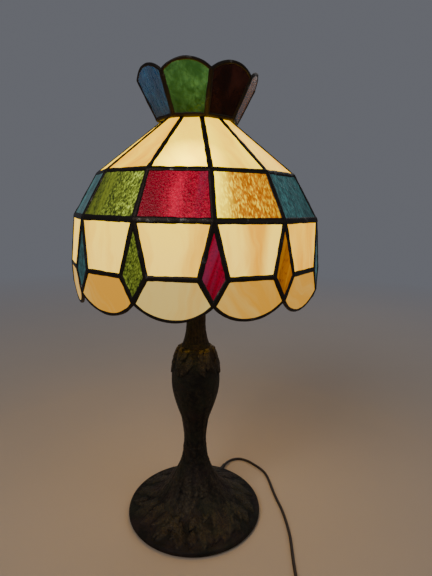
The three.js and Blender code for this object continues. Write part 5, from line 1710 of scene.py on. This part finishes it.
def crown_look(tone):
    """Coloured glass of the crown, seen against the room, with a faint painted warm glow near its
    foot.
    """

    def build(tree, shader):
        clear, deep, grain = CROWN_TINTS[tone]
        lay = carried(tree, "lay", "Vector")
        light, height = apply_effect(tree, rolled_texture(), {"Sheet": lay, "Grain": grain})
        wisps = ranged(tree, noise(tree, stretched(tree, lay, (0.5, 0.3, 1)), 1.0, 4, 0.6), 0.35,
            0.65)
        body = mixed(tree, times(tree, light, wisps), rgba(deep), rgba(clear))
        away = distance_from(tree, BULB_CENTRE)
        # Colour darker towards the foot and lighter towards the rim, by distance from the bulb.
        body = tinted(tree, body, ranged(tree, away, 0.118, 0.160, 0.45, 1.3))
        # Painted glow: a faint warm emission along the foot, standing in for the bulb's light.
        lit = mixed(tree, ranged(tree, away, 0.115, 0.135, 1.0, 0.0), (0, 0, 0, 1),
            (0.30, 0.16, 0.04, 1))
        join(tree, shader, {
            "Base Color": body, "Roughness": 0.10, "Transmission Weight": 0.25, "IOR": 1.25,
            "Specular IOR Level": 0.15, "Emission Color": lit, "Emission Strength": 0.012,
            "Normal": bump(tree, height, 0.5, 0.0008),
        })

    return finish_of(f"{tone} crown glass", build)


def cast_look(part):
    """Dark brown bronze patina, rubbed where the relief stands up."""
    cast = bpy.context.scene.lamp_cast

    def build(tree, shader):
        relief = carried(tree, "tone", "Fac")
        if part == "finial":
            relief = added(tree, relief, 0.35)
        inputs = {"Dark": rgba(cast.dark), "Brown": rgba(cast.brown), "Rubbed": rgba(cast.rubbed),
            "Relief": relief}
        skin, rough, metal, height = apply_effect(tree, patina(), inputs)
        join(tree, shader, {
            "Base Color": skin, "Roughness": rough, "Metallic": metal, "Specular IOR Level": 0.35,
            "Normal": bump(tree, height, 0.9, 0.0016),
        })

    return finish_of("finial bronze" if part == "finial" else "cast bronze", build)


def lead_look():
    """Solder under a near-black patina, worn to bright metal here and there."""

    def build(tree, shader):
        at = place(tree)
        worn = ranged(tree, noise(tree, at, 62.0, 5, 0.65), 0.60, 0.74)
        tint = noise(tree, at, 30.0, 2)
        dark = mixed(tree, tint, (0.018, 0.014, 0.011, 1), (0.045, 0.033, 0.024, 1))
        skin = mixed(tree, times(tree, worn, 0.55), dark, (0.34, 0.33, 0.30, 1))
        join(tree, shader, {
            "Base Color": skin, "Metallic": 0.8, "Roughness": ranged(tree, worn, 0, 1, 0.46, 0.24),
            "Normal": bump(tree, noise(tree, at, 240.0, 4), 0.5, 0.0006),
        })

    return finish_of("patinated lead", build)


METALS = {  # finish, bright places and dull places
    "brass": ("aged brass", (0.62, 0.42, 0.15), (0.26, 0.16, 0.06)),
    "steel": ("zinc plated steel", (0.50, 0.50, 0.48), (0.28, 0.27, 0.25)),
    "aluminium": ("spun aluminium", (0.80, 0.80, 0.79), (0.52, 0.51, 0.49)),
}
GRAINED = {  # finish, grains to a metre, low and high tone, roughness, bump, its depth, and sheen
    "plastic": ("moulded black plastic", 1400.0, (0.014, 0.012, 0.011), (0.030, 0.026, 0.023),
                0.36, 0.25, 0.0002, 0.0),
    "cord": ("brown cord plastic", 700.0, (0.016, 0.009, 0.006), (0.038, 0.022, 0.014),
             0.38, 0.3, 0.0002, 0.0),
    "felt": ("pressed felt", 1700.0, (0.018, 0.035, 0.020), (0.055, 0.085, 0.050),
             0.8, 0.9, 0.0008, 0.6),
    "card": ("insulating card", 800.0, (0.20, 0.155, 0.10), (0.32, 0.26, 0.18),
             0.72, 0.5, 0.0004, 0.0),
}


def metal_look(metal):
    """Plated or spun metal with a dull bloom."""
    name, bright, dull = METALS[metal]

    def build(tree, shader):
        inputs = {"Bright": rgba(bright), "Dull": rgba(dull)}
        skin, rough, height = apply_effect(tree, tarnish(), inputs)
        join(tree, shader, {
            "Base Color": skin, "Metallic": 1.0, "Roughness": rough,
            "Normal": bump(tree, height, 0.2, 0.0003),
        })

    return finish_of(name, build)


def grained_look(kind):
    """Moulded or pressed stuff with a fine grain."""
    name, scale, low, high, rough, strength, depth, sheen = GRAINED[kind]

    def build(tree, shader):
        inputs = {"Scale": scale, "Low": rgba(low), "High": rgba(high), "Rough": rough}
        skin, roughness, height = apply_effect(tree, fine_grain(), inputs)
        join(tree, shader, {
            "Base Color": skin, "Roughness": roughness, "Sheen Weight": sheen,
            "Normal": bump(tree, height, strength, depth),
        })

    return finish_of(name, build)


def bulb_look():
    """A frosted globe, lit from inside: brightest round its middle and warmer at its neck."""

    def build(tree, shader):
        height = put(tree, "SeparateXYZ", {0: place(tree)}).outputs["Z"]
        up = ranged(tree, height, 0.424, 0.470)
        frost = noise(tree, place(tree), 500.0, 3)
        lit = mixed(tree, up, (1.0, 0.50, 0.16, 1), (1.0, 0.72, 0.36, 1))
        join(tree, shader, {
            "Base Color": mixed(tree, frost, (0.80, 0.78, 0.72, 1), (0.92, 0.90, 0.84, 1)),
            "Roughness": 0.55,
            "Emission Color": lit, "Emission Strength": 9.0,
            "Normal": bump(tree, frost, 0.1, 0.0002),
        })

    return finish_of("frosted bulb glass", build)


# ---- Stage ----
class LAMP_OT_stage(bpy.types.Operator):
    """Sets the camera, the plain floor, the room light and the soft studio lights"""

    bl_idname = "lamp.stage"
    bl_label = "Stage"

    def execute(self, context):
        stage = context.scene.lamp_stage
        scene = context.scene
        look = math.cos(stage.pitch)
        forward = np.array([math.sin(stage.yaw) * look, math.cos(stage.yaw) * look,
            -math.sin(stage.pitch)])
        level = np.array([math.cos(stage.yaw), -math.sin(stage.yaw), 0.0])
        upright = np.cross(level, forward)
        right = math.cos(stage.roll) * level + math.sin(stage.roll) * upright
        up = math.cos(stage.roll) * upright - math.sin(stage.roll) * level
        pose = np.eye(4)
        pose[:3, 0], pose[:3, 1], pose[:3, 2] = right, up, -forward
        pose[:3, 3] = (0.0, -stage.distance, stage.height)
        data = bpy.data.cameras.new("camera")
        data.lens = stage.lens
        data.sensor_width = 36.0
        data.clip_start = 0.01
        camera = bpy.data.objects.new("camera", data)
        camera.matrix_world = Matrix(pose.tolist())
        scene.collection.objects.link(camera)
        scene.camera = camera

        world = bpy.data.worlds.new("room")
        world.use_nodes = True
        world.node_tree.nodes["Background"].inputs["Color"].default_value = rgba(stage.backdrop)
        world.node_tree.nodes["Background"].inputs["Strength"].default_value = 1.0
        scene.world = world

        mesh = bpy.data.meshes.new("floor")
        reach = 8.0
        mesh.from_pydata([(x, y, -0.0002) for x, y in ((-reach, -reach), (reach, -reach),
                         (reach, reach), (-reach, reach))],
                         [], [(0, 1, 2, 3)])
        floor = bpy.data.objects.new("floor", mesh)
        scene.collection.objects.link(floor)

        def plain(tree, shader):
            tone = noise(tree, place(tree), 3.0, 3)
            pale = mixed(tree, ranged(tree, tone, 0.3, 0.7, 0.0, 0.12), rgba(stage.floor),
                (0.42, 0.36, 0.30, 1))
            away = put(tree, "VectorMath", {0: place(tree)}, operation="LENGTH").outputs["Value"]
            far = reckon(tree, "POWER", ranged(tree, away, 0.5, 2.4), 0.8)
            join(tree, shader, {
                "Base Color": mixed(tree, far, pale, (0, 0, 0, 1)), "Roughness": 0.7,
                "Specular IOR Level": 0.0,
                "Emission Color": mixed(tree, far, (0, 0, 0, 1), rgba(stage.backdrop)),
                "Emission Strength": 1.0,
            })

        mesh.materials.append(finish_of("plain floor", plain))
        for name, spot, aim, size, power, tint in (
            ("key light", (-1.1, -1.5, 1.7), (0, 0, 0.3), 1.1, 13.0, (1.0, 0.97, 0.93)),
            ("fill light", (1.5, -1.0, 1.1), (0, 0, 0.3), 1.4, 3.0, (0.95, 0.97, 1.0)),
            ("back light", (0.6, 1.6, 1.5), (0, 0, 0.3), 1.4, 4.0, (1.0, 0.98, 0.95)),
        ):
            data = bpy.data.lights.new(name, "AREA")
            data.size = size
            data.energy = power
            data.color = tint
            lamp = bpy.data.objects.new(name, data)
            z = unit(np.subtract(spot, aim))
            x = unit(np.cross((0.0, 0.0, 1.0), z))
            stand = np.eye(4)
            stand[:3, 0], stand[:3, 1], stand[:3, 2], stand[:3, 3] = x, np.cross(z, x), z, spot
            lamp.matrix_world = Matrix(stand.tolist())
            scene.collection.objects.link(lamp)
        return {"FINISHED"}


# ---- Add-on ----
SETTINGS = {
    "lamp_shade": ShadeSettings,
    "lamp_crown": CrownSettings,
    "lamp_lead": LeadSettings,
    "lamp_cast": CastSettings,
    "lamp_glass": GlassSettings,
    "lamp_cord": CordSettings,
    "lamp_stage": StageSettings,
}
OPERATORS = (
    LAMP_OT_stage,
    LAMP_OT_cord,
    LAMP_OT_shade_glass,
    LAMP_OT_crown_glass,
    LAMP_OT_leading,
    LAMP_OT_foot,
    LAMP_OT_stem,
    LAMP_OT_stem_hardware,
    LAMP_OT_socket,
    LAMP_OT_bulb,
    LAMP_OT_cap_and_finial,
)


class LAMP_PT_build(bpy.types.Panel):
    """Lists the lamp's operators and their settings"""

    bl_idname = "LAMP_PT_build"
    bl_label = "Leaded glass lamp"
    bl_space_type = "VIEW_3D"
    bl_region_type = "UI"
    bl_category = "Lamp"

    def draw(self, context):
        for operator in OPERATORS:
            self.layout.operator(operator.bl_idname)
        for key, settings in SETTINGS.items():
            box = self.layout.box()
            for name in settings.__annotations__:
                box.prop(getattr(context.scene, key), name)


def register():
    for key, settings in SETTINGS.items():
        bpy.utils.register_class(settings)
        setattr(bpy.types.Scene, key, bpy.props.PointerProperty(type=settings))
    for kind in (*OPERATORS, LAMP_PT_build):
        bpy.utils.register_class(kind)


def unregister():
    for kind in reversed((*OPERATORS, LAMP_PT_build)):
        bpy.utils.unregister_class(kind)
    for key, settings in SETTINGS.items():
        delattr(bpy.types.Scene, key)
        bpy.utils.unregister_class(settings)


def main():
    register()
    for operator in OPERATORS:
        getattr(bpy.ops.lamp, operator.bl_idname.split(".")[1])()
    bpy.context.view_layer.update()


if __name__ == "__main__":
    main()
